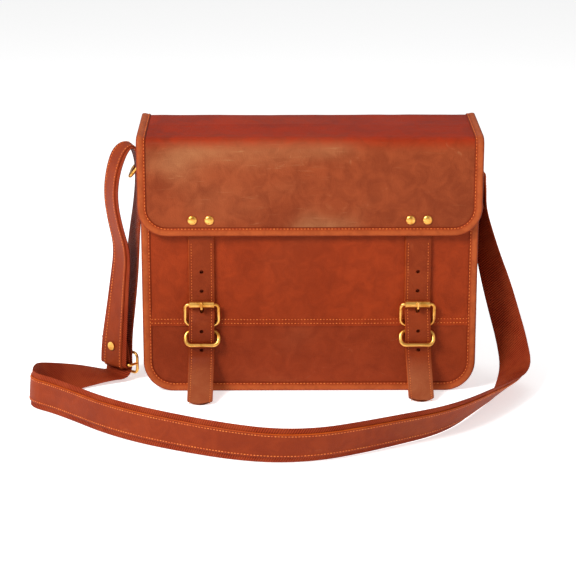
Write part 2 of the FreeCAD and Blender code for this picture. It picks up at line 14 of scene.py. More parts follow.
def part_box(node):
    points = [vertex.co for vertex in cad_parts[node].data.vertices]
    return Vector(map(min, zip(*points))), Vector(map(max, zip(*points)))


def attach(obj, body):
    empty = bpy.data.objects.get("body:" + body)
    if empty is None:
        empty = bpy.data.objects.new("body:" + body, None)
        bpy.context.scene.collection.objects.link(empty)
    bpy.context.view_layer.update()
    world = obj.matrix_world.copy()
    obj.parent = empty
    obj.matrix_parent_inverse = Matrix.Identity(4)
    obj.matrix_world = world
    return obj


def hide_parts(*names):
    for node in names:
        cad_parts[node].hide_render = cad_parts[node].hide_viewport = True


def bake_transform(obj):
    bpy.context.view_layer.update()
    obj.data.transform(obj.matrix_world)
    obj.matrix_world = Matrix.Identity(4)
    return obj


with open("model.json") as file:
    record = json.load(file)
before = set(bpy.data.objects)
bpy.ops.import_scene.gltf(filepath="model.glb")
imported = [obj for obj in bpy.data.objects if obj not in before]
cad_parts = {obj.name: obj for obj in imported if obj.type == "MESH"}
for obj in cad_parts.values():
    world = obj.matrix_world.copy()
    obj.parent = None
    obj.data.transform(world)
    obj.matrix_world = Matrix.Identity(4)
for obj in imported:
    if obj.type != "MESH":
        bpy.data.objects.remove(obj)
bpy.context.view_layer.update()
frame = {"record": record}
MM = 0.001
SIDES = (("left", -1), ("right", 1))

# %% [markdown]
# ## Camera, floor and light
# A product shot is made from far away with a long lens, a little above the bag, so the front looks flat.
# The light is plain and soft: one large lamp high at the left, a weaker one at the right, and a bright
# white world that fills the shadows.

# %% Camera
camera_data = bpy.data.cameras.new("camera")
camera_data.lens = 117.4
camera = bpy.data.objects.new("camera", camera_data)
bpy.context.scene.collection.objects.link(camera)
camera.location = (-0.0366, -1.9318, 0.6167)
look_at = Vector((-0.0221, 0.0, 0.0991))
camera.rotation_euler = (look_at - camera.location).to_track_quat("-Z", "Y").to_euler()
bpy.context.scene.camera = camera
print("camera distance", round((look_at - camera.location).length, 3))


# %% Lamps, world and floor
def lamp(name, place, target, size, power):
    """A square soft box at a place, turned to a target."""
    data = bpy.data.lights.new(name, "AREA")
    data.size = size
    data.energy = power
    light = bpy.data.objects.new(name, data)
    bpy.context.scene.collection.objects.link(light)
    light.location = place
    light.rotation_euler = (Vector(target) - Vector(place)).to_track_quat("-Z", "Y").to_euler()
    return light


lamp("key_lamp", (-1.3, -1.4, 1.6), (0, 0, 0.12), 0.8, 56)
lamp("fill_lamp", (1.5, -1.3, 0.9), (0, 0, 0.12), 1.2, 5)
lamp("top_lamp", (0.1, 0.5, 1.9), (0, 0, 0.1), 1.4, 7)
world = bpy.data.worlds.new("studio")
world.use_nodes = True
world.node_tree.nodes["Background"].inputs["Color"].default_value = (1.0, 1.0, 1.0, 1.0)
world.node_tree.nodes["Background"].inputs["Strength"].default_value = 0.36
bpy.context.scene.world = world
bpy.context.scene.view_settings.view_transform = "Standard"

# %% [markdown]
# ## A small language for materials
# Patterns are arithmetic on numbers, so a number socket is wrapped in a class that ordinary Python operators
# extend. Each operator adds one Math node. Any other node comes from one method, make.


# %% Shader values
class Value:
    """A number socket in a material, for Python arithmetic."""

    def __init__(self, shader, socket):
        self.shader = shader
        self.socket = socket

    def join(self, operation, first, second=0.0):
        return self.shader.make("ShaderNodeMath", {"operation": operation}, {0: first, 1: second})

    def __add__(self, other):
        return self.join("ADD", self, other)

    def __sub__(self, other):
        return self.join("SUBTRACT", self, other)

    def __rsub__(self, other):
        return self.join("SUBTRACT", other, self)

    def __mul__(self, other):
        return self.join("MULTIPLY", self, other)

    def __abs__(self):
        return self.join("ABSOLUTE", self)

    __radd__ = __add__
    __rmul__ = __mul__

    def sine(self):
        return self.join("SINE", self)

    def ramp(self, low, high):
        """0 below low, 1 above high, and smooth between them."""
        sockets = {"Value": self, "From Min": low, "From Max": high}
        return self.shader.make("ShaderNodeMapRange", {"interpolation_type": "SMOOTHSTEP"}, sockets)


class Shader:
    """One material with one glossy surface, and the patterns that drive it."""

    def __init__(self, name, **constants):
        self.material = bpy.data.materials.new(name)
        self.material.use_nodes = True
        self.tree = self.material.node_tree
        self.surface = self.tree.nodes["Principled BSDF"]
        for socket, value in constants.items():
            self.surface.inputs[socket.replace("_", " ")].default_value = value

    def make(self, kind, settings, sockets, output=0):
        """Add a node: its settings first, then the values or links of its sockets."""
        node = self.tree.nodes.new(kind)
        for key, value in settings.items():
            setattr(node, key, value)
        for key, value in sockets.items():
            if isinstance(value, Value):
                self.tree.links.new(value.socket, node.inputs[key])
            else:
                node.inputs[key].default_value = value
        return Value(self, node.outputs[output])

    def place(self, output="Object"):
        return self.make("ShaderNodeTexCoord", {}, {}, output)

    def stretched(self, place, scale, turn=(0, 0, 0)):
        return self.make("ShaderNodeMapping", {}, {"Vector": place, "Scale": scale, "Rotation": turn})

    def clouds(self, place, scale, detail=3.0, roughness=0.55, distortion=0.0):
        sockets = {"Vector": place, "Scale": scale, "Detail": detail, "Roughness": roughness,
                   "Distortion": distortion}
        return self.make("ShaderNodeTexNoise", {}, sockets)

    def cells(self, place, scale):
        return self.make("ShaderNodeTexVoronoi", {}, {"Vector": place, "Scale": scale})

    def mix(self, factor, first, second):
        """Mix two colours; 6, 7 and 2 are the Mix node's colour inputs and its colour result."""
        return self.make("ShaderNodeMix", {"data_type": "RGBA"}, {0: factor, 6: first, 7: second}, 2)

    def drive(self, socket, value):
        self.tree.links.new(value.socket, self.surface.inputs[socket])

    def bump(self, height, distance):
        node = self.make("ShaderNodeBump", {}, {"Height": height, "Distance": distance, "Strength": 1.0})
        self.tree.links.new(node.socket, self.surface.inputs["Normal"])


def shade(red, green, blue):
    return (red, green, blue, 1.0)


print("shader language ready")

# %% [markdown]
# ## Leather
# Pull-up leather is dyed through and waxed. Where it bends or rubs, the wax thins and the hide turns
# lighter, so its colour is never even: broad clouds, finer mottling, hair-thin scratches and short creases.
# A grain of small cells gives the surface its bump.


# %% Leather materials
def leather(name, shades, haze=0.5, gloss=0.5, grain=1.0, creases=0.5, turns=None):
    """Pull-up leather in three shades: dark, middle and hazy. haze is how far the wax has thinned; on the
    flap it
    is also partly a painted sheen of the light on its front. The last argument is (low, high, dark, middle):
    the shades that the colour moves to from one height to another, which is painted light by height: a
    painted reflection on the strap tips and a painted shade on the flap's top."""
    dark, middle, light = shades
    shader = Shader(name, Specular_IOR_Level=0.09)
    place = shader.place()
    broad = shader.clouds(place, 8, 3, 0.5, 0.3)
    patch = shader.clouds(shader.stretched(place, (5, 5, 9), (0.3, 0.2, 0.9)), 1.0, 2, 0.45, 0.4)
    mottle = shader.clouds(place, 60, 5, 0.62, 0.7)
    fine = shader.clouds(place, 420, 3, 0.7)
    cells = shader.cells(place, 950)
    marks = shader.clouds(shader.stretched(place, (30, 300, 420), (0.0, 0.35, 0.0)), 1.0, 4, 0.7, 0.6)
    folds = abs(shader.clouds(place, 15, 2, 0.4, 0.5) - 0.5)
    fold_line = (1 - folds.ramp(0.0, 0.010)) * broad.ramp(0.44, 0.58) * mottle.ramp(0.50, 0.62)
    tone = (broad * 0.5 + mottle * 0.5).ramp(0.34, 0.66)
    colour = shader.mix(tone, dark, middle)
    # On the flap, whose haze is strongest, this lighter haze is partly a painted sheen of the light on its
    # front.
    rubbed = patch.ramp(0.42, 0.66) * (mottle * 0.7 + 0.45) + marks.ramp(0.58, 0.75) * 0.35
    colour = shader.mix((rubbed * haze).ramp(0.0, 1.3), colour, light)
    colour = shader.mix(fold_line * creases * 0.5, colour, light)
    # Painted light by height: a painted reflection on the strap tips, a painted shade on the flap's top.
    if turns:
        low, high, painted_light_dark, painted_light_middle = turns
        height = shader.make("ShaderNodeSeparateXYZ", {}, {"Vector": place}, 2) + mottle * 0.006
        colour = shader.mix(height.ramp(low, high), colour, shader.mix(tone, painted_light_dark, painted_light_middle))
    shader.drive("Base Color", colour)
    shader.drive("Roughness", mottle * 0.2 + (gloss - 0.1))
    height = cells * 0.35 + fine * 0.3 + mottle * 0.45 - fold_line * creases * 0.9
    shader.bump(height, 0.00045 * grain)
    return shader.material


def rolled_leather(name, inner, bead, edge):
    """The edge binding: its UV runs from 0 at the sewn inner edge to 1 round the rolled edge. Its crown is a
    painted highlight, its sewn inner edge is darker, partly a painted shadow in the groove and partly the
    stitch holes, and it is darker round the fold.
    """
    shader = Shader(name, Specular_IOR_Level=0.1)
    place = shader.place()
    across = shader.make("ShaderNodeSeparateXYZ", {}, {"Vector": shader.place("UV")}, 1)
    mottle = shader.clouds(place, 90, 5, 0.65, 0.6)
    fine = shader.clouds(place, 520, 3, 0.7)
    # A painted highlight: the crown of the roll is lighter, broken up by the mottling.
    crown = across.ramp(0.22, 0.42) * (1 - across.ramp(0.52, 0.64))
    colour = shader.mix(crown * (mottle * 0.9 + 0.35), inner, bead)
    colour = shader.mix(across.ramp(0.60, 0.72), colour, edge)
    colour = shader.mix(mottle.ramp(0.35, 0.65) * 0.4, colour, edge)
    # The sewn inner edge is darker: partly a painted shadow in the groove, partly the stitch holes.
    colour = shader.mix((1 - across.ramp(0.10, 0.22)) * 0.8, colour, edge)
    shader.drive("Base Color", colour)
    shader.drive("Roughness", mottle * 0.25 + 0.34)
    shader.bump(fine * 0.5 + mottle * 0.6 + shader.cells(place, 900) * 0.3, 0.0004)
    return shader.material


PANEL_SHADES = (shade(0.205, 0.023, 0.0035), shade(0.300, 0.036, 0.0060), shade(0.355, 0.075, 0.024))
BASE_SHADES = (shade(0.185, 0.022, 0.0040), shade(0.250, 0.033, 0.0070), shade(0.310, 0.075, 0.027))
# The flap's top in darker, redder tones: a painted shade, the shaded copy of the flap leather.
TOP_SHADED_TONES = (shade(0.205, 0.013, 0.0010), shade(0.305, 0.020, 0.0018), shade(0.350, 0.045, 0.008))
# The flap's hazy light tone is partly real rubbed wax and partly a painted sheen of the light on its front.
FLAP_SHADES = (shade(0.185, 0.030, 0.0075), shade(0.285, 0.054, 0.0150), shade(0.360, 0.145, 0.058))
STRAP_SHADES = (shade(0.165, 0.020, 0.0035), shade(0.235, 0.034, 0.0070), shade(0.310, 0.085, 0.028))
# Lighter tones for the strap tips: a painted reflection where the tips curl up towards the light.
TIP_REFLECTION_TONES = (shade(0.265, 0.055, 0.0180), shade(0.340, 0.095, 0.0350))
OVERLAY_SHADES = (shade(0.190, 0.023, 0.0045), shade(0.260, 0.036, 0.0075), shade(0.330, 0.080, 0.024))
PAINT_SHADES = (shade(0.330, 0.045, 0.0040), shade(0.500, 0.085, 0.0080), shade(0.620, 0.140, 0.020))
panel_leather = leather("panel_leather", PANEL_SHADES, 0.35, 0.50, creases=0.35)
base_leather = leather("base_leather", BASE_SHADES, 0.5, 0.50, 1.2, 0.6)
# The flap: strong haze, partly rubbed wax and partly a painted sheen on its front; by height its top takes
# the darker top tones, a painted shade.
flap_leather = leather("flap_leather", FLAP_SHADES, 1.25, 0.52, 1.1, 0.75, (0.258, 0.276, *TOP_SHADED_TONES[:2]))
# The back of the flap's top: the same leather in darker tones, a painted shade.
shaded_top_leather = leather("shaded_top_leather", TOP_SHADED_TONES, 0.3, 0.46)
# Near the floor the strap takes the lighter tip tones: a painted reflection on the curled tips.
strap_leather = leather("strap_leather", STRAP_SHADES, 0.5, 0.48, turns=(0.046, 0.016, *TIP_REFLECTION_TONES))
overlay_leather = leather("overlay_leather", OVERLAY_SHADES, 0.5, 0.52)
# The binding's inner tone, its painted-highlight crown, and its dark edge.
binding_leather = rolled_leather("binding_leather", shade(0.29, 0.040, 0.007), shade(0.43, 0.092, 0.022),
                                 shade(0.15, 0.014, 0.002))
edge_paint = leather("edge_paint", PAINT_SHADES, 0.2, 0.42, 0.3, 0.0)
print("leathers made")

# %% [markdown]
# ## Thread, webbing, cloth and brass
# The thread is a waxed orange tan. The webbing is woven on the slant, so its ribs run across it at an angle:
# they follow the strap's own UV map, in metres. The brass is aged: bright where it is touched and browner
# where it isn't.


# %% Other materials
def thread_material():
    shader = Shader("waxed_thread", Specular_IOR_Level=0.4, Roughness=0.5)
    tone = shader.clouds(shader.place(), 300, 2)
    dark, light = shade(0.56, 0.085, 0.006), shade(0.78, 0.200, 0.024)
    shader.drive("Base Color", shader.mix(tone.ramp(0.35, 0.65), dark, light))
    return shader.material


def webbing_material():
    """Slanted ribs, broken along each rib into the picks of the weave."""
    shader = Shader("rib_webbing", Specular_IOR_Level=0.08)
    uv = shader.place("UV")
    along = shader.make("ShaderNodeSeparateXYZ", {}, {"Vector": uv}, 0)
    across = shader.make("ShaderNodeSeparateXYZ", {}, {"Vector": uv}, 1)
    turn = 2 * math.pi
    rib = ((along * (turn / 0.0024)) + (across * (turn / 0.0048))).sine()
    pick = ((along * (turn / 0.0040)) - (across * (turn / 0.0016))).sine()
    weave = rib * 0.38 + pick * 0.12 + 0.5
    tone = shader.clouds(shader.place(), 40, 3)
    colour = shader.mix(weave.ramp(0.15, 0.85), shade(0.120, 0.009, 0.0015), shade(0.310, 0.036, 0.0080))
    colour = shader.mix(tone.ramp(0.35, 0.7) * 0.4, colour, shade(0.36, 0.060, 0.016))
    shader.drive("Base Color", colour)
    shader.drive("Roughness", 0.75 - weave * 0.15)
    shader.bump(weave, 0.0005)
    return shader.material


def cloth_material(name, dark, light, pitch):
    """Plain canvas: warp and weft threads crossing, on object coordinates."""
    shader = Shader(name, Specular_IOR_Level=0.2, Roughness=0.85)
    place = shader.place()
    waves = [shader.make("ShaderNodeSeparateXYZ", {}, {"Vector": place}, axis) for axis in range(3)]
    turn = 2 * math.pi / pitch
    weave = (waves[0] * turn).sine() * (waves[2] * turn).sine() + (waves[1] * turn).sine() * 0.5
    tone = shader.clouds(place, 30, 4)
    shader.drive("Base Color", shader.mix(weave * 0.2 + tone * 0.7, dark, light))
    shader.bump(weave, 0.0002)
    return shader.material


def brass_material():
    shader = Shader("aged_brass", Metallic=1.0)
    place = shader.place()
    tarnish = shader.clouds(place, 90, 3, 0.55, 0.4)
    brushed = shader.clouds(shader.stretched(place, (60, 900, 900)), 1.0, 2)
    colour = shader.mix(tarnish.ramp(0.42, 0.72), shade(0.92, 0.50, 0.12), shade(0.62, 0.25, 0.035))
    shader.drive("Base Color", colour)
    shader.drive("Roughness", tarnish * 0.12 + brushed * 0.04 + 0.24)
    shader.bump(brushed, 0.00002)
    return shader.material


thread = thread_material()
webbing = webbing_material()
lining_cloth = cloth_material("lining_cloth", shade(0.13, 0.085, 0.05), shade(0.30, 0.21, 0.13), 0.0016)
board = cloth_material("base_board", shade(0.05, 0.04, 0.03), shade(0.10, 0.08, 0.06), 0.0009)
brass = brass_material()
print("materials", len(bpy.data.materials))

# %% [markdown]
# ## Meshes from rows
# Nearly everything soft on the bag is either a sheet, a grid of points with a thickness, or a strip, one
# cross-section carried along a path. Two helpers make both as closed meshes with outward faces.


# %% Mesh helpers
def mesh_object(name, points, faces, materials, indices=None, uv=None, sharp=50):
    """A new object at the origin; uv is one pair for each point, and sharp is the angle of kept edges."""
    mesh = bpy.data.meshes.new(name)
    mesh.from_pydata([tuple(p) for p in points], [], faces)
    for material in materials:
        mesh.materials.append(material)
    if indices:
        mesh.polygons.foreach_set("material_index", indices)
    if uv:
        layer = mesh.uv_layers.new(name="UVMap")
        for loop in mesh.loops:
            layer.data[loop.index].uv = uv[loop.vertex_index]
    mesh.polygons.foreach_set("use_smooth", [True] * len(mesh.polygons))
    mesh.set_sharp_from_angle(angle=math.radians(sharp))
    mesh.validate()
    piece = bpy.data.objects.new(name, mesh)
    bpy.context.scene.collection.objects.link(piece)
    return piece


def sheet_solid(name, outer, inner, materials):
    """A sheet between two equal grids of points. Its outer face and rim get material 0, the inner face the
    last."""
    rows, columns = len(outer), len(outer[0])
    points = [p for row in outer for p in row] + [p for row in inner for p in row]
    half = rows * columns
    faces, indices = [], []
    for i in range(rows - 1):
        for j in range(columns - 1):
            a = i * columns + j
            quad = (a, a + 1, a + columns + 1, a + columns)
            faces.append(quad)
            indices.append(0)
            faces.append(tuple(half + k for k in reversed(quad)))
            indices.append(len(materials) - 1)
    border = [j for j in range(columns)]
    border += [i * columns + columns - 1 for i in range(1, rows)]
    border += [(rows - 1) * columns + j for j in range(columns - 2, -1, -1)]
    border += [i * columns for i in range(rows - 2, 0, -1)]
    for k, a in enumerate(border):
        b = border[(k + 1) % len(border)]
        faces.append((b, a, half + a, half + b))
        indices.append(0)
    return mesh_object(name, points, faces, materials, indices)


def strip(name, sections, materials, column_material=None, uv=None, closed=False):
    """A tube of closed cross-sections; column_material gives each side of the section its material."""
    count = len(sections[0])
    points = [p for section in sections for p in section]
    faces, indices = [], []
    rings = len(sections)
    for i in range(rings if closed else rings - 1):
        here, there = i * count, ((i + 1) % rings) * count
        for j in range(count):
            k = (j + 1) % count
            faces.append((here + j, here + k, there + k, there + j))
            indices.append(column_material[j] if column_material else 0)
    if not closed:
        faces.append(tuple(reversed(range(count))))
        faces.append(tuple((rings - 1) * count + j for j in range(count)))
        indices += [0, 0]
    return mesh_object(name, points, faces, materials, indices, uv, 40)


def volume_of(piece):
    """Signed volume; a piece whose faces point inwards has a negative one."""
    total = 0.0
    mesh = piece.data
    mesh.calc_loop_triangles()
    for triangle in mesh.loop_triangles:
        a, b, c = (mesh.vertices[i].co for i in triangle.vertices)
        total += a.dot(b.cross(c)) / 6
    return total


def facing_out(piece):
    """Turn the faces round if they point inwards."""
    if volume_of(piece) < 0:
        piece.data.flip_normals()
    return piece


def smoothstep(low, high, value):
    t = min(max((value - low) / (high - low), 0.0), 1.0)
    return t * t * (3 - 2 * t)


def spread(low, high, step):
    """Evenly spaced values from low to high, about step apart."""
    count = max(1, round(abs(high - low) / step))
    return [low + (high - low) * i / count for i in range(count + 1)]


print("mesh helpers ready")

# %% [markdown]
# ## Skins
# Each leather panel is drawn flat, as a cutter draws it: x across and v up. A skin then says where a flat
# point lies on the bag, and how high above the leather. The flap's skin goes up the front, round the fold,
# back over the top, round the back edge and down to where it is sewn on. So one binding and one stitch row
# serve a flat panel and the curved flap alike.

# %% The bag's sizes, from the frame
front_low, front_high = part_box("front_binding")
flap_low, flap_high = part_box("flap_front_binding")
bag_half = front_high[0]
mouth_z = front_high[2]
panel_y = front_low[1] + 1.2 * MM
back_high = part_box("back_binding")[1]
back_y = back_high[1] - 1.2 * MM
back_z = back_high[2]
flap_half = flap_high[0]
flap_v = flap_low[2]
CORNER = 32 * MM
FLAP_CORNER = 30 * MM
LEATHER = 2.4 * MM
BINDING = 9.5 * MM
CLOSURE_X = 112 * MM
print("front", round(bag_half * 2, 4), "wide, flap", round(flap_half * 2, 4))


# %% Where a flat point lies
def puff(x, z, low, high, half):
    """A soft swelling in the middle of a panel, from 0 at its edges to 1."""
    side = smoothstep(0, 0.06, half - abs(x))
    return side * smoothstep(0, 0.07, z - low) * smoothstep(0, 0.06, high - z)


def ripple(x, z, size, seed):
    return noise.noise(Vector((x / size, z / size, seed)))


PANEL_SWELL, BACK_SWELL = 1.9 * MM, 2.2 * MM
PANEL_RIPPLE = 0.35 * MM


def front_skin(x, v, h):
    """The front panel swells a little between the closure straps, and ripples near the base."""
    clear = smoothstep(0.014, 0.045, abs(abs(x) - CLOSURE_X))
    swell = PANEL_SWELL * puff(x, v, 0.0, mouth_z, bag_half - BINDING) * clear
    calm = smoothstep(0, 0.02, bag_half - BINDING - abs(x)) * smoothstep(0.0, 0.02, v - BINDING)
    waves = ripple(x, v, 0.035, 3.1) + 0.5 * ripple(x, v, 0.014, 8.2)
    low = PANEL_RIPPLE * calm * waves * (0.35 + 0.65 * clear)
    return Vector((x, panel_y - h - swell - low, v))


def back_skin(x, v, h):
    swell = BACK_SWELL * puff(x, v, 0.0, 0.245, bag_half - BINDING)
    return Vector((x, back_y + h + swell, v))


FOLD_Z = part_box("flap_front")[1][2] + 0.3 * MM
FOLD_R = 8 * MM
FLAP_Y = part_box("flap_front")[0][1]
RISE = math.atan2(278.2 - 270.5, 96.1)
TOP_Y = 45.4 * MM
BACK_R = 5 * MM
fold_turn = math.pi / 2 - RISE
fold_end = FOLD_Z + FOLD_R * fold_turn
top_start_y = FLAP_Y + FOLD_R - FOLD_R * math.sin(RISE)
top_start_z = FOLD_Z + FOLD_R * math.cos(RISE)
top_length = (TOP_Y - top_start_y) / math.cos(RISE)
top_end = fold_end + top_length
back_turn = math.pi / 2 + RISE
back_fold_end = top_end + BACK_R * back_turn
mount_low = 246 * MM


def flap_profile(v):
    """The flap's side view: y, z and the outward direction at a flat height v."""
    if v <= FOLD_Z:
        return FLAP_Y, v, -1.0, 0.0
    if v <= fold_end:
        a = (v - FOLD_Z) / FOLD_R
        ny, nz = -math.cos(a), math.sin(a)
        return FLAP_Y + FOLD_R + FOLD_R * ny, FOLD_Z + FOLD_R * nz, ny, nz
    ny, nz = -math.sin(RISE), math.cos(RISE)
    if v <= top_end:
        d = v - fold_end
        return top_start_y + d * math.cos(RISE), top_start_z + d * math.sin(RISE), ny, nz
    end_z = top_start_z + top_length * math.sin(RISE)
    centre_y, centre_z = TOP_Y - BACK_R * ny, end_z - BACK_R * nz
    a = min((v - top_end) / BACK_R, back_turn)
    start = math.atan2(nz, ny)
    ny, nz = math.cos(start - a), math.sin(start - a)
    drop = max(v - back_fold_end, 0.0)
    return centre_y + BACK_R * ny, centre_z + BACK_R * nz - drop, ny, nz


FLAP_WAVE, FLAP_RIPPLE, TOP_SAG = 0.45 * MM, 0.2 * MM, 1.3 * MM


def flap_skin(x, v, h):
    """The flap's top sags a little between its ends, and its front ripples."""
    y, z, ny, nz = flap_profile(v)
    inside = smoothstep(0, 0.03, flap_half - abs(x))
    clear = inside * smoothstep(0, 0.02, v - flap_v - BINDING)
    low = clear * (FLAP_WAVE * ripple(x, v, 0.05, 5.7) + FLAP_RIPPLE * ripple(x, v, 0.018, 1.3))
    crown = TOP_SAG * inside * smoothstep(fold_end, fold_end + 0.03, v) * smoothstep(0, 0.03, top_end - v)
    lift = h + low + crown * ripple(x, v, 0.11, 2.2)
    return Vector((x, y + ny * lift, z + nz * lift))


mount_v = back_fold_end + (flap_profile(back_fold_end)[1] - mount_low)
split_v = fold_end + 0.55 * top_length
print("flap from flat height", round(flap_v, 4), "to", round(mount_v, 4))

# %% [markdown]
# ## Cut panels
# A panel's rows follow its rounded bottom corners: each row is as wide as the outline is at that height.


# %% Panel maker
def half_width(v, half, low, radius):
    """Half the outline's width at a height v, with its bottom corners rounded."""
    if v >= low + radius:
        return half
    rise = low + radius - v
    return half - radius + math.sqrt(max(radius * radius - rise * rise, 0.0))


def panel_rows(half, low, high, radius, step=5 * MM):
    """Heights of a panel's rows: closer together in its rounded corners."""
    corner = [low + radius * (1 - math.cos(a)) for a in spread(0, math.pi / 2, 0.12)] if radius else [low]
    return corner + spread(max(corner[-1], low), high, step)[1:]


def panel(name, skin, half, low, high, radius, materials, thickness=LEATHER):
    """A leather panel on a skin, between two heights."""
    columns = spread(-1, 1, 5 * MM / half)
    outer, inner = [], []
    for v in panel_rows(half, low, high, radius):
        w = half_width(v, half, low, radius) if radius else half
        outer.append([skin(u * w, v, 0.0) for u in columns])
        inner.append([skin(u * w, v, -thickness) for u in columns])
    return facing_out(sheet_solid(name, outer, inner, materials))


EDGE = 1.2 * MM
SEAM_LOW, SEAM_HIGH = 71.0 * MM, 79.5 * MM
front_lower = panel("front_lower", front_skin, bag_half - EDGE, EDGE, SEAM_HIGH, CORNER - EDGE,
                    [base_leather])


def lapped_skin(x, v, h):
    """The upper front panel laps over the lower one along the seam."""
    return front_skin(x, v, h + 0.9 * MM * (1 - smoothstep(SEAM_HIGH, SEAM_HIGH + 10 * MM, v)))


front_upper = panel("front_upper", lapped_skin, bag_half - EDGE, SEAM_LOW, mouth_z, 0, [panel_leather],
                    thickness=1.6 * MM)
back = panel("back", back_skin, bag_half - EDGE, EDGE, back_z, CORNER - EDGE, [panel_leather])
flap_cover = panel("flap_cover", flap_skin, flap_half - EDGE, flap_v + EDGE, split_v, FLAP_CORNER - EDGE,
                   [flap_leather, lining_cloth], thickness=2.9 * MM)
# The back of the flap's top takes the darker painted-shade leather.
flap_back = panel("flap_back", flap_skin, flap_half - EDGE, split_v, mount_v, 0,
                  [shaded_top_leather, lining_cloth], thickness=2.4 * MM)
print("panels", [len(p.data.polygons) for p in (front_lower, front_upper, back, flap_cover, flap_back)])


# %% [markdown]
# ## The gusset
# One long strip of leather makes both sides and the base. It bellies out a little at the sides, and is flat
# where it stands on the floor.


# %% Gusset
def outline_path(half, low, high, radius, step=5 * MM):
    """Stations down the left side, round the bottom and up the right: x, v and the inward direction."""
    stations = [(-half, v, 1.0, 0.0) for v in spread(high, low + radius, step)]
    for a in spread(0, math.pi / 2, 0.1)[1:]:
        c, s = math.cos(a), math.sin(a)
        stations.append((-half + radius - radius * c, low + radius - radius * s, c, s))
    stations += [(x, low, 0.0, 1.0) for x in spread(-half + radius, half - radius, step)[1:]]
    for a in spread(0, math.pi / 2, 0.1)[1:]:
        c, s = math.cos(a), math.sin(a)
        stations.append((half - radius + radius * s, low + radius - radius * c, -s, c))
    stations += [(half, v, -1.0, 0.0) for v in spread(low + radius, high, step)[1:]]
    return stations


gusset_low, gusset_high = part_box("gusset")


GUSSET_BELLY, GUSSET_LEATHER = 3.2 * MM, 2.2 * MM


def gusset_rows(depth):
    rows = []
    for x, v, ix, iv in outline_path(gusset_high[0], 0.0, gusset_high[2], 30 * MM):
        belly = GUSSET_BELLY * smoothstep(0.03, 0.07, v) * (1 - smoothstep(0.15, 0.195, v)) - depth
        row = []
        for y in spread(gusset_low[1], gusset_high[1], 5 * MM):
            reach = belly * (1 - (y / gusset_high[1]) ** 2) - depth * (y / gusset_high[1]) ** 2
            fold = 0.5 * MM * ripple(y, v + x, 0.03, 4.4) * smoothstep(0.03, 0.08, v)
            fold *= 1 - (y / gusset_high[1]) ** 2
            row.append(Vector((x - ix * (reach + fold), y, v - iv * (reach + fold))))
        rows.append(row)
    return rows


gusset = facing_out(sheet_solid("gusset_strip", gusset_rows(0.0), gusset_rows(GUSSET_LEATHER),
                                [panel_leather]))
print("gusset faces", len(gusset.data.polygons))

# %% [markdown]
# ## Edge binding
# A strip of thinner leather is folded over each panel's edge and sewn through. Its section is a soft roll:
# flat at the stitches, fullest near the edge, and round where it folds over.

# %% Binding
BINDING_SECTION = (
    (9.5, 0.1), (9.3, 0.75), (8.7, 1.1), (7.6, 1.05), (6.6, 1.2), (5.2, 1.65), (3.6, 2.0), (2.0, 2.0),
    (0.9, 1.6), (0.2, 0.8), (0.0, -0.3), (0.05, -1.7), (0.5, -2.5), (1.2, -2.6), (1.2, -0.2), (6.0, -0.2),
)


def binding(name, skin, stations):
    """A rolled edge along flat stations."""
    sections, uv = [], []
    length = 0.0
    for i, (x, v, ix, iv) in enumerate(stations):
        if i:
            length += math.hypot(x - stations[i - 1][0], v - stations[i - 1][1])
        ring = []
        for j, (d, h) in enumerate(BINDING_SECTION):
            ring.append(skin(x + ix * d * MM, v + iv * d * MM, h * MM))
            uv.append((length, min(j / 13, 1.0)))
        sections.append(ring)
    return facing_out(strip(name, sections, [binding_leather], uv=uv))


front_path = outline_path(bag_half, 0.0, mouth_z, CORNER)
back_path = outline_path(bag_half, 0.0, back_z, CORNER)
flap_path = outline_path(flap_half, flap_v, split_v, FLAP_CORNER, 3 * MM)
binding_front = binding("binding_front", front_skin, front_path)
binding_back = binding("binding_back", back_skin, back_path)
binding_flap = binding("binding_flap", flap_skin, flap_path)
side_left = [(-flap_half, v, 1.0, 0.0) for v in spread(mount_v, split_v, 3 * MM)]
side_right = [(flap_half, v, -1.0, 0.0) for v in spread(split_v, mount_v, 3 * MM)]
binding_top_left = binding("binding_top_left", flap_skin, side_left)
binding_top_right = binding("binding_top_right", flap_skin, side_right)
mouth_half = bag_half - 10 * MM
mouth_path = [(x, mouth_z + EDGE, 0.0, -1.0) for x in spread(-mouth_half, mouth_half, 5 * MM)]
binding_mouth = binding("binding_mouth", front_skin, mouth_path)
print("binding lengths", len(front_path), len(flap_path))

# %% [markdown]
# ## Stitches
# A sewing machine repeats one short stitch along a line. That is a job for Geometry Nodes: the row's line
# becomes a curve, is divided at the stitch pitch, and a small bead of thread is laid along it at each point.


# %% Node trees
def new_tree(name, output, **inputs):
    """An empty tree with named inputs, each given with its kind, and one output of geometry."""
    tree = bpy.data.node_groups.new(name, "GeometryNodeTree")
    for socket, kind in inputs.items():
        tree.interface.new_socket(socket, in_out="INPUT", socket_type="NodeSocket" + kind)
    tree.interface.new_socket(output, in_out="OUTPUT", socket_type="NodeSocketGeometry")
    return tree


def join_up(tree, *links):
    """Each link is a node, its output, the next node and its input."""
    for out_node, out_socket, in_node, in_socket in links:
        tree.links.new(out_node.outputs[out_socket], in_node.inputs[in_socket])


def grown(name, mesh, tree, **inputs):
    """Run a tree on a mesh and keep what it makes as a plain object; the modifier is removed."""
    seed = bpy.data.objects.new(name + "_seed", mesh)
    bpy.context.scene.collection.objects.link(seed)
    modifier = seed.modifiers.new("nodes", "NODES")
    modifier.node_group = tree
    sockets = {s.name: s.identifier for s in tree.interface.items_tree if s.in_out == "INPUT"}
    for socket, value in inputs.items():
        modifier[sockets[socket]] = value
    graph = bpy.context.evaluated_depsgraph_get()
    made = bpy.data.meshes.new_from_object(seed.evaluated_get(graph))
    seed.modifiers.clear()
    bpy.data.objects.remove(seed)
    piece = bpy.data.objects.new(name, made)
    bpy.context.scene.collection.objects.link(piece)
    return piece


print("node helpers ready")


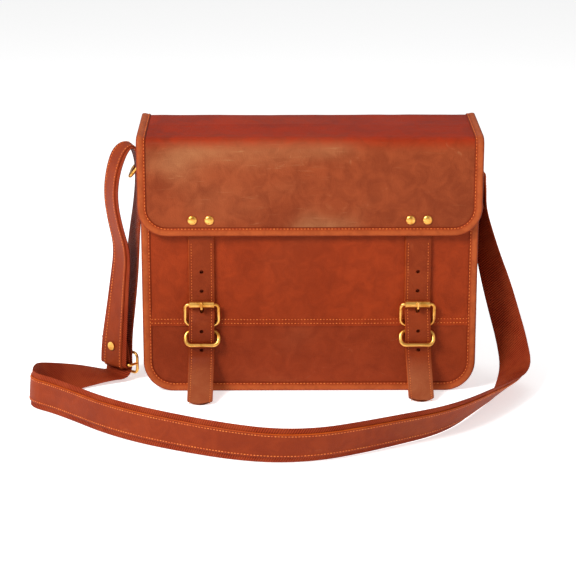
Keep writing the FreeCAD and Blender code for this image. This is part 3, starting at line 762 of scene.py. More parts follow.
# %% Stitch tree
def stitch_tree():
    tree = new_tree("stitch_row", "Stitches", Line="Geometry", Pitch="Float", Bead="Vector")
    given = tree.nodes.new("NodeGroupInput")
    curve = tree.nodes.new("GeometryNodeMeshToCurve")
    divide = tree.nodes.new("GeometryNodeResampleCurve")
    divide.mode = "LENGTH"
    tangent = tree.nodes.new("GeometryNodeInputTangent")
    turn = tree.nodes.new("FunctionNodeAlignRotationToVector")
    turn.axis = "X"
    bead = tree.nodes.new("GeometryNodeMeshUVSphere")
    bead.inputs["Segments"].default_value = 6
    bead.inputs["Rings"].default_value = 5
    bead.inputs["Radius"].default_value = 1.0
    lay = tree.nodes.new("GeometryNodeInstanceOnPoints")
    real = tree.nodes.new("GeometryNodeRealizeInstances")
    smooth = tree.nodes.new("GeometryNodeSetShadeSmooth")
    paint = tree.nodes.new("GeometryNodeSetMaterial")
    paint.inputs["Material"].default_value = thread
    result = tree.nodes.new("NodeGroupOutput")
    join_up(tree, (given, "Line", curve, "Mesh"), (curve, "Curve", divide, "Curve"),
            (given, "Pitch", divide, "Length"), (divide, "Curve", lay, "Points"),
            (bead, "Mesh", lay, "Instance"), (tangent, "Tangent", turn, "Vector"),
            (turn, "Rotation", lay, "Rotation"), (given, "Bead", lay, "Scale"),
            (lay, "Instances", real, "Geometry"), (real, "Geometry", smooth, "Geometry"),
            (smooth, "Geometry", paint, "Geometry"), (paint, "Geometry", result, "Stitches"))
    return tree


stitching = stitch_tree()
PITCH = 3.5 * MM
BEAD = (1.1 * MM, 0.42 * MM, 0.42 * MM)
SEAM_PITCH = 3.3 * MM
SEAM_BEAD = (0.95 * MM, 0.42 * MM, 0.42 * MM)


def stitches(name, rows, pitch=PITCH, bead=BEAD):
    """One object of stitches along several rows of points."""
    points, edges = [], []
    for row in rows:
        start = len(points)
        points += [tuple(p) for p in row]
        edges += [(start + i, start + i + 1) for i in range(len(row) - 1)]
    mesh = bpy.data.meshes.new(name + "_line")
    mesh.from_pydata(points, edges, [])
    return grown(name, mesh, stitching, Pitch=pitch, Bead=bead)


def inset_row(skin, stations, inset, height):
    return [skin(x + ix * inset, v + iv * inset, height) for x, v, ix, iv in stations]


STITCH_IN = 8.0 * MM
STITCH_UP = 1.15 * MM
stitch_front = stitches("stitch_front", [inset_row(front_skin, front_path, STITCH_IN, STITCH_UP)])
stitch_back = stitches("stitch_back", [inset_row(back_skin, back_path, STITCH_IN, STITCH_UP)])
stitch_flap = stitches("stitch_flap", [inset_row(flap_skin, flap_path, STITCH_IN, STITCH_UP)])
stitch_top = stitches("stitch_top", [inset_row(flap_skin, side, STITCH_IN, STITCH_UP)
                                     for side in (side_left, side_right)])
stitch_mouth = stitches("stitch_mouth", [inset_row(front_skin, mouth_path, STITCH_IN, STITCH_UP)])
SEAM_ROWS = (78.4 * MM, 74.2 * MM)
MOUNT_ROWS = (4 * MM, 9 * MM)
seam_half = bag_half - BINDING - 0.5 * MM
seam_rows = [[lapped_skin(x, v, 0.05 * MM) for x in spread(-seam_half, seam_half, 6 * MM)]
             for v in SEAM_ROWS]
stitch_seam = stitches("stitch_seam", seam_rows, SEAM_PITCH, SEAM_BEAD)
mount_rows = [[flap_skin(x, v, 0.1 * MM) for x in spread(-seam_half, seam_half, 6 * MM)]
              for v in (mount_v - inset for inset in MOUNT_ROWS)]
stitch_mount = stitches("stitch_mount", mount_rows)
print("stitches in the flap's row", len(stitch_flap.data.vertices))

# %% [markdown]
# ## Closure straps
# Each strap is riveted behind the flap, runs down behind the roller, over the buckle's heel bar and behind
# the keeper's front bar, and its tip curls out onto the floor. Its edges are painted orange, and a row is
# sewn along each. Its free end leans a little to the outside. The holes are punched last, with a boolean.


# %% Closure strap maker
def strap_line(side):
    """The strap's middle line, in the frame's own sizes: millimetres in a side view."""
    reach = -97.5 if side < 0 else -88.5
    lean = 0.0 if side < 0 else 3.0
    return [
        (-49.4, 200.0), (-49.4, 183.0), (-49.4, 166.5), (-49.5, 135.0), (-49.8, 112.0), (-50.2, 97.0),
        (-52.6, 86.0), (-56.3, 74.5), (-55.9, 66.0), (-52.1, 52.5), (-51.6, 40.0), (-57.2, 31.0),
        (-69.5 + lean, 20.5 - lean / 2), (-83.5 + 2 * lean, 11.0 - lean / 2), (reach, 1.6),
    ]


def smooth_line(points, per=8):
    """A Catmull-Rom curve through points in a side view, with its headings."""
    points = [Vector(p) * MM for p in points]
    points = [points[0] * 2 - points[1]] + points + [points[-1] * 2 - points[-2]]
    line = []
    for i in range(1, len(points) - 2):
        a, b, c, d = points[i - 1:i + 3]
        for k in range(per):
            t = k / per
            line.append(0.5 * (2 * b + (c - a) * t + (2 * a - 5 * b + 4 * c - d) * t * t
                               + (3 * b - a - 3 * c + d) * t ** 3))
    line.append(points[-2])
    return line


STRAP_SECTION = (
    (-13.25, -0.5), (-12.9, -1.3), (-12.2, -1.5), (-8.0, -1.5), (-4.0, -1.5), (0.0, -1.5), (4.0, -1.5),
    (8.0, -1.5), (12.2, -1.5), (12.9, -1.3), (13.25, -0.5), (13.25, 0.5), (12.9, 1.3), (12.2, 1.5),
    (11.2, 1.4), (10.3, 1.3), (9.4, 1.5), (5.0, 1.55), (0.0, 1.6), (-5.0, 1.55), (-9.4, 1.5), (-10.3, 1.3),
    (-11.2, 1.4), (-12.2, 1.5), (-12.9, 1.3), (-13.25, 0.5),
)
PAINTED = (0, 9, 10, 11, 24, 25)
LEAN_LEFT, LEAN_RIGHT = -1.5 * MM, 3.2 * MM
TIP_ROUNDING = 5.0 * MM


def strap_frames(side):
    """Points along the strap with the direction of its front."""
    line = smooth_line(strap_line(side))
    frames = []
    for i, point in enumerate(line):
        heading = (line[min(i + 1, len(line) - 1)] - line[max(i - 1, 0)]).normalized()
        frames.append((point, heading))
    return frames


def sway(side, z):
    """How far the strap leans sideways at a height: its free end hangs away from the bag's middle."""
    return (LEAN_RIGHT if side > 0 else LEAN_LEFT) * (1 - smoothstep(0.0, 0.10, z))


def on_strap(side, point, heading, x, h, back_off=0.0):
    """A place on the strap: x across from its middle, h in front of its middle line."""
    y = point.x + heading.y * h - heading.x * back_off
    z = point.y - heading.x * h - heading.y * back_off
    return Vector((side * CLOSURE_X + sway(side, point.y) + x, y, z))


def closure_strap(name, side):
    frames = strap_frames(side)
    sections = []
    last = len(frames) - 1
    for i, (point, heading) in enumerate(frames):
        rounding = smoothstep(last - 7, last, i) * TIP_ROUNDING
        sections.append([on_strap(side, point, heading, x * MM, h * MM, rounding * (x / 13.25) ** 2)
                         for x, h in STRAP_SECTION])
    columns = [1 if j in PAINTED else 0 for j in range(len(STRAP_SECTION))]
    return facing_out(strip(name, sections, [strap_leather, edge_paint], columns))


def punch(piece, cutters):
    """Cut holes through a piece with closed cutters, which are removed afterwards."""
    for cutter in cutters:
        modifier = piece.modifiers.new("punch", "BOOLEAN")
        modifier.object = cutter
        modifier.solver = "EXACT"
    graph = bpy.context.evaluated_depsgraph_get()
    made = bpy.data.meshes.new_from_object(piece.evaluated_get(graph))
    piece.modifiers.clear()
    piece.data = made
    made.set_sharp_from_angle(angle=math.radians(40))
    for cutter in cutters:
        bpy.data.objects.remove(cutter)


def hole_cutter(x, z, width, height):
    """A rod with round ends, along Y through the strap at one height."""
    ring = []
    for a in spread(0, 2 * math.pi, 0.4)[:-1]:
        shift = (height - width) / 2 * (1 if math.sin(a) >= 0 else -1)
        ring.append((x + math.cos(a) * width / 2, z + math.sin(a) * width / 2 + shift))
    ends = [[Vector((px, y, pz)) for px, pz in ring] for y in (-0.075, -0.040)]
    return facing_out(strip("cutter", ends, [strap_leather]))


HOLE_WIDTH = 4.2 * MM
CLOSURE_ROW = 10.3 * MM
FINE_PITCH = 3.0 * MM
CLOSURE_BEAD = (0.9 * MM, 0.36 * MM, 0.36 * MM)
HOLES = ((130.0, 4.0), (109.5, 4.0), (89.9, 7.0), (67.8, 4.0), (46.0, 4.0))
closure = {}
closure_stitch = {}
for label, side in SIDES:
    piece = closure_strap("closure_" + label, side)
    centre = side * CLOSURE_X
    punch(piece, [hole_cutter(centre + sway(side, z * MM), z * MM, HOLE_WIDTH, height * MM)
                  for z, height in HOLES])
    closure[label] = piece
    rows = [[on_strap(side, p, h, x, 1.42 * MM) for p, h in strap_frames(side)[18:]]
            for x in (-CLOSURE_ROW, CLOSURE_ROW)]
    closure_stitch[label] = stitches("stitch_closure_" + label, rows, FINE_PITCH, CLOSURE_BEAD)
    print(label, "strap faces", len(piece.data.polygons), "volume cm3", round(volume_of(piece) * 1e6, 2))

# %% [markdown]
# ## The shoulder strap
# It is a flat cord, one fixed length: ribbed webbing with a narrower leather strip sewn on its outer side.
# Its route is a list of points, the same as the frame's solids follow, with the direction to the
# edge that lies on the floor. A smooth spline pulled by the points gives its middle line, and a second
# spline beside it gives the way its width points.

# %% Route
ROUTE = (
    ((-207.2, -3.4, 44.5), (0.76, -0.65, 0.0)),
    ((-205.6, -1.5, 33.5), (0.76, -0.65, 0.0)),
    ((-205.0, -0.7, 21.5), (0.76, -0.65, 0.0)),
    ((-205.0, -0.7, 14.9), (0.76, -0.65, 0.0)),
    ((-209.5, -6.0, 14.9), (0.76, -0.65, 0.0)),
    ((-209.5, -6.0, 22.5), (0.76, -0.65, 0.0)),
    ((-208.3, -6.0, 42.0), (0.74, -0.67, 0.0)),
    ((-205.0, -5.5, 72.0), (0.66, -0.75, 0.0)),
    ((-201.5, -5.0, 106.0), (0.58, -0.81, 0.0)),
    ((-197.5, -5.0, 142.0), (0.52, -0.85, 0.0)),
    ((-204.5, -5.0, 170.0), (0.48, -0.88, 0.0)),
    ((-208.8, -5.0, 198.0), (0.45, -0.89, 0.0)),
    ((-206.5, -4.8, 224.0), (0.44, -0.90, 0.0)),
    ((-198.5, -3.0, 249.0), (0.46, -0.89, 0.0)),
    ((-185.0, -0.5, 257.0), (0.32, -0.95, 0.0)),
    ((-179.6, 0.0, 240.0), (0.20, -0.98, 0.0)),
    ((-178.2, 0.0, 218.0), (0.20, -0.98, 0.0)),
    ((-180.0, 1.8, 190.0), (0.25, -0.97, 0.0)),
    ((-183.6, 4.0, 158.0), (0.35, -0.94, 0.0)),
    ((-187.2, 4.0, 120.0), (0.42, -0.91, 0.0)),
    ((-192.4, 3.8, 85.0), (0.50, -0.87, 0.0)),
    ((-199.6, 3.0, 52.0), (0.66, -0.75, 0.0)),
    ((-202.4, 2.4, 28.5), (0.76, -0.65, 0.0)),
    ((-202.5, 2.2, 12.0), (0.76, -0.65, 0.0)),
    ((-206.0, -2.6, 3.4), (0.66, -0.75, 0.0)),
    ((-220.0, -9.5, 5.6), (0.46, -0.87, -0.10)),
    ((-238.0, -20.0, 8.6), (0.46, -0.82, -0.34)),
    ((-256.0, -36.0, 12.0), (0.46, -0.68, -0.57)),
    ((-273.5, -58.5, 17.0), (0.42, -0.40, -0.80)),
    ((-287.5, -84.0, 20.0), (-0.10, -0.08, -0.97)),
    ((-284.5, -105.0, 20.0), (-0.04, 0.0, -1.0)),
    ((-262.0, -123.0, 20.0), (0.0, 0.0, -1.0)),
    ((-236.0, -150.0, 20.0), (0.0, 0.0, -1.0)),
    ((-208.0, -181.0, 20.0), (0.0, 0.0, -1.0)),
    ((-172.0, -211.0, 20.0), (0.0, 0.0, -1.0)),
    ((-130.0, -236.0, 19.6), (0.0, 0.05, -1.0)),
    ((-84.0, -260.0, 19.5), (0.0, 0.12, -0.99)),
    ((-38.0, -274.0, 19.2), (0.0, 0.22, -0.97)),
    ((6.0, -269.5, 18.9), (0.0, 0.28, -0.96)),
    ((48.0, -248.5, 18.7), (0.0, 0.32, -0.95)),
    ((88.0, -224.0, 18.4), (-0.06, 0.36, -0.93)),
    ((124.0, -200.5, 18.0), (-0.18, 0.38, -0.91)),
    ((153.0, -167.5, 17.2), (-0.32, 0.40, -0.86)),
    ((177.0, -128.0, 16.3), (-0.50, 0.38, -0.76)),
    ((198.0, -92.0, 14.4), (-0.58, 0.46, -0.66)),
    ((212.5, -56.0, 14.6), (-0.68, 0.60, -0.42)),
    ((220.5, -23.0, 21.0), (-0.74, 0.63, -0.24)),
    ((217.0, -6.0, 45.0), (-0.78, 0.59, -0.20)),
    ((209.0, 0.0, 73.0), (-0.78, 0.59, -0.20)),
    ((200.5, 2.0, 103.0), (-0.74, 0.63, -0.20)),
    ((191.0, 3.0, 135.0), (-0.60, 0.78, -0.15)),
    ((184.6, 3.0, 165.0), (-0.42, 0.90, -0.08)),
    ((181.9, 1.5, 190.0), (-0.20, 0.98, 0.0)),
    ((182.8, 0.3, 208.0), (-0.08, 1.0, 0.0)),
    ((182.8, 0.0, 218.0), (0.0, 1.0, 0.0)),
    ((182.8, 0.0, 225.8), (0.0, 1.0, 0.0)),
    ((173.0, 0.0, 225.8), (0.0, 1.0, 0.0)),
    ((173.0, 0.0, 216.0), (0.0, 1.0, 0.0)),
    ((175.8, 0.6, 204.0), (-0.06, 1.0, 0.0)),
    ((178.7, 1.5, 189.5), (-0.16, 0.99, 0.0)),
)
print("route points", len(ROUTE))


# %% Middle line and width
def spline_points(name, points):
    """The points of a NURBS spline pulled by a few control points, as its own plain mesh gives them."""
    data = bpy.data.curves.new(name, "CURVE")
    data.dimensions = "3D"
    data.resolution_u = 5
    spline = data.splines.new("NURBS")
    spline.points.add(len(points) - 1)
    for place, point in zip(spline.points, points):
        place.co = (*point, 1.0)
    spline.order_u = 3
    spline.use_endpoint_u = True
    curve = bpy.data.objects.new(name, data)
    bpy.context.scene.collection.objects.link(curve)
    graph = bpy.context.evaluated_depsgraph_get()
    mesh = bpy.data.meshes.new_from_object(curve.evaluated_get(graph))
    line = [v.co.copy() for v in mesh.vertices]
    bpy.data.objects.remove(curve)
    return line


route_points = [Vector(p) * MM for p, _ in ROUTE]
edge_points = [Vector(p) * MM + Vector(e).normalized() * 0.01 for p, e in ROUTE]
middle_line = spline_points("strap_route", route_points)
beside_line = spline_points("strap_edge", edge_points)
strap_frame = []
run = 0.0
for i, point in enumerate(middle_line):
    if i:
        run += (point - middle_line[i - 1]).length
    heading = (middle_line[min(i + 1, len(middle_line) - 1)] - middle_line[max(i - 1, 0)]).normalized()
    across = beside_line[i] - point
    across = (across - heading * across.dot(heading)).normalized()
    strap_frame.append((point, heading, across, across.cross(heading), run))


# %% Ribbon maker
def ribbon(name, section, materials, columns=None):
    """A flat strip with a given section, across and out from the middle line; its UV is in metres."""
    sections, uv = [], []
    for point, heading, across, out, along in strap_frame:
        sections.append([point + across * (a * MM) + out * (h * MM) for a, h in section])
        uv += [(along, a * MM) for a, h in section]
    return facing_out(strip(name, sections, materials, columns, uv))


WEBBING_SECTION = (
    (-19.0, -0.7), (-18.6, -1.3), (-17.6, -1.55), (-9.0, -1.6), (0.0, -1.6), (9.0, -1.6), (17.6, -1.55),
    (18.6, -1.3), (19.0, -0.7), (18.6, -0.2), (17.6, -0.05), (9.0, -0.05), (-9.0, -0.05), (-17.6, -0.05),
    (-18.6, -0.2),
)
OVERLAY_SECTION = (
    (-13.0, 0.1), (-12.5, 0.0), (12.5, 0.0), (13.0, 0.1), (13.05, 1.1), (12.5, 1.55), (11.6, 1.65),
    (10.4, 1.5), (5.0, 1.62), (0.0, 1.65), (-5.0, 1.62), (-10.4, 1.5), (-11.6, 1.65), (-12.5, 1.55),
    (-13.05, 1.1),
)
# Orange edge paint on the overlay's top edge only, the one facing the light; the bottom edge, in shadow,
# keeps the darker leather: painted light and shade on the two edges.
OVERLAY_LIT_EDGE_PAINT = (13, 14, 0)
strap_webbing = ribbon("shoulder_webbing", WEBBING_SECTION, [webbing])
strap_overlay = ribbon("shoulder_overlay", OVERLAY_SECTION, [overlay_leather, edge_paint],
                       [1 if j in OVERLAY_LIT_EDGE_PAINT else 0 for j in range(len(OVERLAY_SECTION))])
OVERLAY_ROW = 10.9 * MM
OVERLAY_PITCH = 3.2 * MM
OVERLAY_BEAD = (1.25 * MM, 0.5 * MM, 0.5 * MM)
overlay_rows = [[p + across * a + out * (1.5 * MM) for p, heading, across, out, along in strap_frame[3:-3]]
                for a in (-OVERLAY_ROW, OVERLAY_ROW)]
stitch_overlay = stitches("stitch_overlay", overlay_rows, OVERLAY_PITCH, OVERLAY_BEAD)
print("ribbon faces", len(strap_webbing.data.polygons), len(strap_overlay.data.polygons))

# %% [markdown]
# ## Side tabs
# A short strap is folded round each side ring's bar and riveted to the gusset.


# %% Side tabs
RING_BAR_X, RING_BAR_Z = 172.35, 241.0
TAB_X, TAB_LOW = 169.7, 204.0
TAB_ROLL = 2.72


def side_tab(name, side):
    path = [(TAB_X, z) for z in spread(TAB_LOW, RING_BAR_Z, 4.0)]
    path += [(RING_BAR_X - TAB_ROLL * math.cos(a), RING_BAR_Z + TAB_ROLL * math.sin(a))
             for a in spread(0, math.radians(265), 0.2)[1:]]
    sections = []
    for i, (x, z) in enumerate(path):
        ahead, behind = path[min(i + 1, len(path) - 1)], path[max(i - 1, 0)]
        heading = Vector((ahead[0] - behind[0], 0, ahead[1] - behind[1])).normalized()
        out = Vector((-heading.z, 0, heading.x))
        ring = []
        for y, h in ((-17, -0.3), (-16.4, -0.62), (16.4, -0.62), (17, -0.3), (17, 0.3), (16.4, 0.62),
                     (-16.4, 0.62), (-17, 0.3)):
            place = (Vector((x, y, z)) + out * h) * MM
            ring.append(Vector((place.x * side, place.y, place.z)))
        sections.append(ring)
    return facing_out(strip(name, sections, [strap_leather, edge_paint], [1, 0, 1, 1, 1, 0, 1, 1]))


tabs = {"left": side_tab("tab_left", -1), "right": side_tab("tab_right", 1)}
print("tabs", list(tabs))

# %% [markdown]
# ## Buckle tabs
# Each buckle hangs in a leather tab sewn on the front, folded round the heel bar and round the keeper's
# upper bar. Its side view is drawn once and carried across, and the roll is left out in the middle for the
# prong.

# %% Buckle tabs
KEEPER_BAR, HEEL_BAR = (-50.4, 66.0), (-51.0, 73.2)
TAB_BACK, TAB_FRONT, TAB_TOP = -44.9, -46.4, 76.3


def tab_outline(slotted, shrink):
    """The tab's side view: up the plate, round the keeper's bar and round the heel bar."""
    face, foot = TAB_FRONT + shrink, 40.0 + shrink
    points = [(TAB_BACK, foot), (face + 0.3, foot), (face, foot + 0.4), (face, 50.0), (face, 60.5)]
    for (y, z), radius, low, high in ((KEEPER_BAR, 3.6, -75, 55), (HEEL_BAR, 3.2, -50, 130)):
        for a in spread(math.radians(low), math.radians(high), 0.35):
            px, pz = y - (radius - shrink) * math.cos(a), z + (radius - shrink) * math.sin(a)
            points.append((face, pz) if slotted and y == HEEL_BAR[0] else (px, pz))
    return points + [(face, TAB_TOP), (TAB_BACK, TAB_TOP)]


def buckle_tab(name, side):
    sections = []
    for x, slotted, shrink in ((-10, 0, 0.45), (-9.6, 0, 0.1), (-9.0, 0, 0), (-2.7, 0, 0), (-2.5, 1, 0),
                               (2.5, 1, 0), (2.7, 0, 0), (9.0, 0, 0), (9.6, 0, 0.1), (10, 0, 0.45)):
        sections.append([Vector((side * CLOSURE_X + x * MM, y * MM, z * MM))
                         for y, z in tab_outline(slotted, shrink)])
    return facing_out(strip(name, sections, [strap_leather]))


TAB_BEAD = (0.95 * MM, 0.36 * MM, 0.36 * MM)
TAB_ROWS = (((-7.6, 42.5), (-7.6, 60.0)), ((7.6, 42.5), (7.6, 60.0)), ((-4.6, 42.5), (4.6, 42.5)))
buckle_tabs, tab_stitch = {}, {}
for label, side in SIDES:
    buckle_tabs[label] = buckle_tab("buckle_tab_" + label, side)
    rows = [[Vector((side * CLOSURE_X + x * MM, -46.5 * MM, z * MM)) for x, z in row] for row in TAB_ROWS]
    tab_stitch[label] = stitches("stitch_tab_" + label, rows, FINE_PITCH, TAB_BEAD)
print("buckle tabs", [len(t.data.polygons) for t in buckle_tabs.values()])

# %% [markdown]
# ## Inside
# The lining is canvas, sewn in with the panels: two walls and one strip round the sides and base. It is a
# little slack, so it stands off the leather in the middle. A leather divider makes two pockets.


# %% Lining and divider
LINING_LOW, LINING_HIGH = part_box("lining")
LINING_R = 22 * MM
CLOTH = 0.6 * MM


def lining_skin(y, inward):
    def skin(x, v, h):
        loose = puff(x, v, LINING_LOW[2], LINING_HIGH[2], LINING_HIGH[0])
        slack = loose * (1.3 * MM + 0.9 * MM * ripple(x, v, 0.06, y * 40))
        return Vector((x, y + inward * (slack - h), v))
    return skin


def lining_strip_rows(depth):
    rows = []
    for x, v, ix, iv in outline_path(LINING_HIGH[0], LINING_LOW[2], LINING_HIGH[2], LINING_R):
        row = []
        for y in spread(LINING_LOW[1] + 0.8 * MM, LINING_HIGH[1] - 0.8 * MM, 6 * MM):
            slack = 0.5 * MM * (1 + ripple(x + v, y, 0.05, 2.6)) * smoothstep(0.04, 0.08, v) + depth
            row.append(Vector((x + ix * slack, y, v + iv * slack)))
        rows.append(row)
    return rows


lining = {}
for label, y, inward in (("front", LINING_LOW[1], 1), ("back", LINING_HIGH[1], -1)):
    lining[label] = panel("lining_" + label, lining_skin(y, inward), LINING_HIGH[0], LINING_LOW[2],
                          LINING_HIGH[2], LINING_R, [lining_cloth], thickness=CLOTH)
lining["strip"] = facing_out(sheet_solid("lining_strip", lining_strip_rows(0.0), lining_strip_rows(CLOTH),
                                         [lining_cloth]))
DIVIDER_LOW, DIVIDER_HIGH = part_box("divider")


def divider_skin(x, v, h):
    """The divider sways a little along its free top edge."""
    sway = 1.2 * MM * smoothstep(0.05, DIVIDER_HIGH[2], v) * math.sin(x / 0.07)
    sway *= smoothstep(0, 0.05, DIVIDER_HIGH[0] - abs(x))
    return Vector((x, DIVIDER_LOW[1] - h + sway, v))


divider_thickness = DIVIDER_HIGH[1] - DIVIDER_LOW[1]
divider = panel("divider_leather", divider_skin, DIVIDER_HIGH[0], DIVIDER_LOW[2], DIVIDER_HIGH[2], LINING_R,
                [panel_leather], thickness=divider_thickness)
divider_rows = [[divider_skin(x, DIVIDER_HIGH[2] - 4 * MM, h)
                 for x in spread(-DIVIDER_HIGH[0] + 3 * MM, DIVIDER_HIGH[0] - 3 * MM, 6 * MM)]
                for h in (0.1 * MM, -divider_thickness - 0.1 * MM)]
stitch_divider = stitches("stitch_divider", divider_rows)
print("inside pieces", len(lining) + 1)

# %% [markdown]
# ## Bent brass wire
# The buckles, keepers, side rings and the slider are bent from round wire, so each is one round section
# carried along a closed line with four rounded corners. The sizes are the frame's own.

# %% Sizes of the brass, in millimetres
BUCKLE_X = CLOSURE_X / MM
ROLLER_BAR, KEEPER_FRONT = (-55.6, 96.3), (-56.5, 52.5)
# half its width, its corners' radii at the first and the second bar, and the wire's radius
BUCKLE_WIRE = (17.3, 6.5, 4.0, 1.7)
KEEPER_WIRE = (17.2, 6.4, 6.4, 2.1)
RING_WIRE = (22.3, 4.0, 5.0, 1.9)
SLIDER_WIRE = (21.4, 5.0, 5.0, 1.6)
RING_REACH = 21.5
RING_TILT = {"left": 40.0, "right": 12.0}
SLIDER_RISE, SLIDER_BACK, SLIDER_FRONT = 11.0, 4.2, 7.3
BRIDGE_WIRE, BRIDGE_BEND = 1.5, 2.5
RIVET_X, RIVET_Z = 8.7, 185.5
WIRE_SIDES = 16
TURNED_SIDES = 32
ACROSS, UP = Vector((1, 0, 0)), Vector((0, 0, 1))
print("buckles at", BUCKLE_X)


# %% Wire
def ring_line(centre, across, down, half, height, first, second):
    """A closed line with rounded corners: one bar is centred on centre, the other lies height along down."""
    line = []
    corners = ((half - first, first, first, -90), (half - second, height - second, second, 0),
               (second - half, height - second, second, 90), (first - half, first, first, 180))
    for u, v, radius, start in corners:
        for a in spread(math.radians(start), math.radians(start + 90), 0.16):
            corner = across * (u + radius * math.cos(a)) + down * (v + radius * math.sin(a))
            line.append((centre + corner) * MM)
    return line


def wire(name, line, normal, radius, closed=True):
    """Round wire along a line; normal is a direction that the line never takes."""
    sections = []
    for i, point in enumerate(line):
        before = line[i - 1] if closed or i else point
        after = line[(i + 1) % len(line)] if closed or i + 1 < len(line) else point
        heading = (after - before).normalized()
        side = normal.cross(heading).normalized()
        up = heading.cross(side)
        sections.append([point + (side * math.cos(a) + up * math.sin(a)) * radius * MM
                         for a in spread(0, 2 * math.pi, 2 * math.pi / WIRE_SIDES)[:-1]])
    return facing_out(strip(name, sections, [brass], closed=closed))


def ring(name, bar, other_bar, across, half, first, second, radius):
    """A closed ring between the middles of two bars."""
    down = (other_bar - bar).normalized()
    line = ring_line(bar, across, down, half, (other_bar - bar).length, first, second)
    return wire(name, line, across.cross(down), radius)


brass_rings = {}
for label, side in SIDES:
    heel, roller = (Vector((side * BUCKLE_X, *bar)) for bar in (HEEL_BAR, ROLLER_BAR))
    brass_rings["buckle_frame_" + label] = ring("buckle_wire_" + label, heel, roller, ACROSS, *BUCKLE_WIRE)
    upper, front = (Vector((side * BUCKLE_X, *bar)) for bar in (KEEPER_BAR, KEEPER_FRONT))
    brass_rings["keeper_ring_" + label] = ring("keeper_wire_" + label, upper, front, ACROSS, *KEEPER_WIRE)
    tilt = math.radians(RING_TILT[label])
    bar = Vector((side * RING_BAR_X, 0, RING_BAR_Z))
    bow = bar + Vector((side * math.sin(tilt), 0, -math.cos(tilt))) * RING_REACH
    brass_rings["side_ring_" + label] = ring("ring_wire_" + label, bar, bow, Vector((0, 1, 0)), *RING_WIRE)
print("wires", sorted(brass_rings))

# %% [markdown]
# The slider is a loop behind the strap, and a bar bridged over its front on two short legs. The bridge is
# the front half of such a ring, left open.

# %% Slider
slider_across, slider_out = Vector((0.76, -0.65, 0)).normalized(), Vector((-0.65, -0.76, 0)).normalized()
slider_centre = Vector((-202.5, 2.2, 18.5))
slider_back = slider_centre - slider_out * SLIDER_BACK
slider_loop = ring("slider_wire", slider_back + UP * SLIDER_RISE, slider_back - UP * SLIDER_RISE,
                   slider_across, *SLIDER_WIRE)
bridge_half = slider_across * SLIDER_WIRE[0]
bends = ring_line(slider_centre + slider_out * SLIDER_FRONT, slider_across, -slider_out, SLIDER_WIRE[0],
                  30.0, BRIDGE_BEND, BRIDGE_BEND)
corner = len(bends) // 4
bridge_line = [(slider_back + bridge_half) * MM, *reversed(bends[:corner]), *reversed(bends[-corner:]),
               (slider_back - bridge_half) * MM]
slider_bridge = wire("slider_bridge", bridge_line, -UP, BRIDGE_WIRE, closed=False)
print("slider faces", len(slider_loop.data.polygons), len(slider_bridge.data.polygons))

# %% [markdown]
# ## Turned brass
# Rivets and rollers are turned: a side view spun round an axis. One rivet is turned for each size, standing
# on +Z, and Geometry Nodes set a copy at each place, turned to face outwards.


# %% Turning
def turned(name, centre, axis, profile, closed=False):
    """A side view spun round an axis: profile is (along the axis, distance from it), in millimetres."""
    side = axis.orthogonal().normalized()
    up = axis.cross(side)
    sections = [[(centre + axis * x + (side * math.cos(a) + up * math.sin(a)) * r) * MM
                 for a in spread(0, 2 * math.pi, 2 * math.pi / TURNED_SIDES)[:-1]] for x, r in profile]
    return facing_out(strip(name, sections, [brass], closed=closed))


ROLLER_PROFILE = ((-13, 1.85), (-13, 3.1), (-12.6, 3.5), (12.6, 3.5), (13, 3.1), (13, 1.85))


def roller(name, side):
    middle = Vector((side * BUCKLE_X, *ROLLER_BAR))
    return turned(name, middle, ACROSS, ROLLER_PROFILE, closed=True)


print("a roller is", ROLLER_PROFILE[-1][0] * 2, "mm long")


# %% Rivets
def rivet_profile(radius, height, shank):
    """A shank of a given length behind the leather, a thin rim, and a dome."""
    profile = [(-shank, 1.3), (-shank, 1.5), (-0.7, 1.5), (-0.7, radius - 0.1), (0.15, radius)]
    for a in spread(0.12, 1.45, 0.19):
        profile.append((0.15 + (height - 0.15) * math.sin(a), radius * math.cos(a) ** 0.8))
    return profile


def rivet_tree():
    tree = new_tree("rivets", "Rivets", Places="Geometry", Rivet="Object", Outwards="Vector")
    given = tree.nodes.new("NodeGroupInput")
    shape = tree.nodes.new("GeometryNodeObjectInfo")
    turn = tree.nodes.new("FunctionNodeAlignRotationToVector")
    turn.axis = "Z"
    lay = tree.nodes.new("GeometryNodeInstanceOnPoints")
    real = tree.nodes.new("GeometryNodeRealizeInstances")
    paint = tree.nodes.new("GeometryNodeSetMaterial")
    paint.inputs["Material"].default_value = brass
    result = tree.nodes.new("NodeGroupOutput")
    join_up(tree, (given, "Places", lay, "Points"), (given, "Rivet", shape, "Object"),
            (shape, "Geometry", lay, "Instance"), (given, "Outwards", turn, "Vector"),
            (turn, "Rotation", lay, "Rotation"), (lay, "Instances", real, "Geometry"),
            (real, "Geometry", paint, "Geometry"), (paint, "Geometry", result, "Rivets"))
    return tree


riveting = rivet_tree()


def rivets(name, places, outwards, radius, height, shank):
    """One object of equal rivets at several places, all facing one way."""
    shape = turned("rivet_shape", Vector((0, 0, 0)), UP, rivet_profile(radius, height, shank))
    mesh = bpy.data.meshes.new(name + "_places")
    mesh.from_pydata([tuple(Vector(p) * MM) for p in places], [], [])
    piece = grown(name, mesh, riveting, Rivet=shape, Outwards=outwards)
    bpy.data.objects.remove(shape)
    return facing_out(piece)


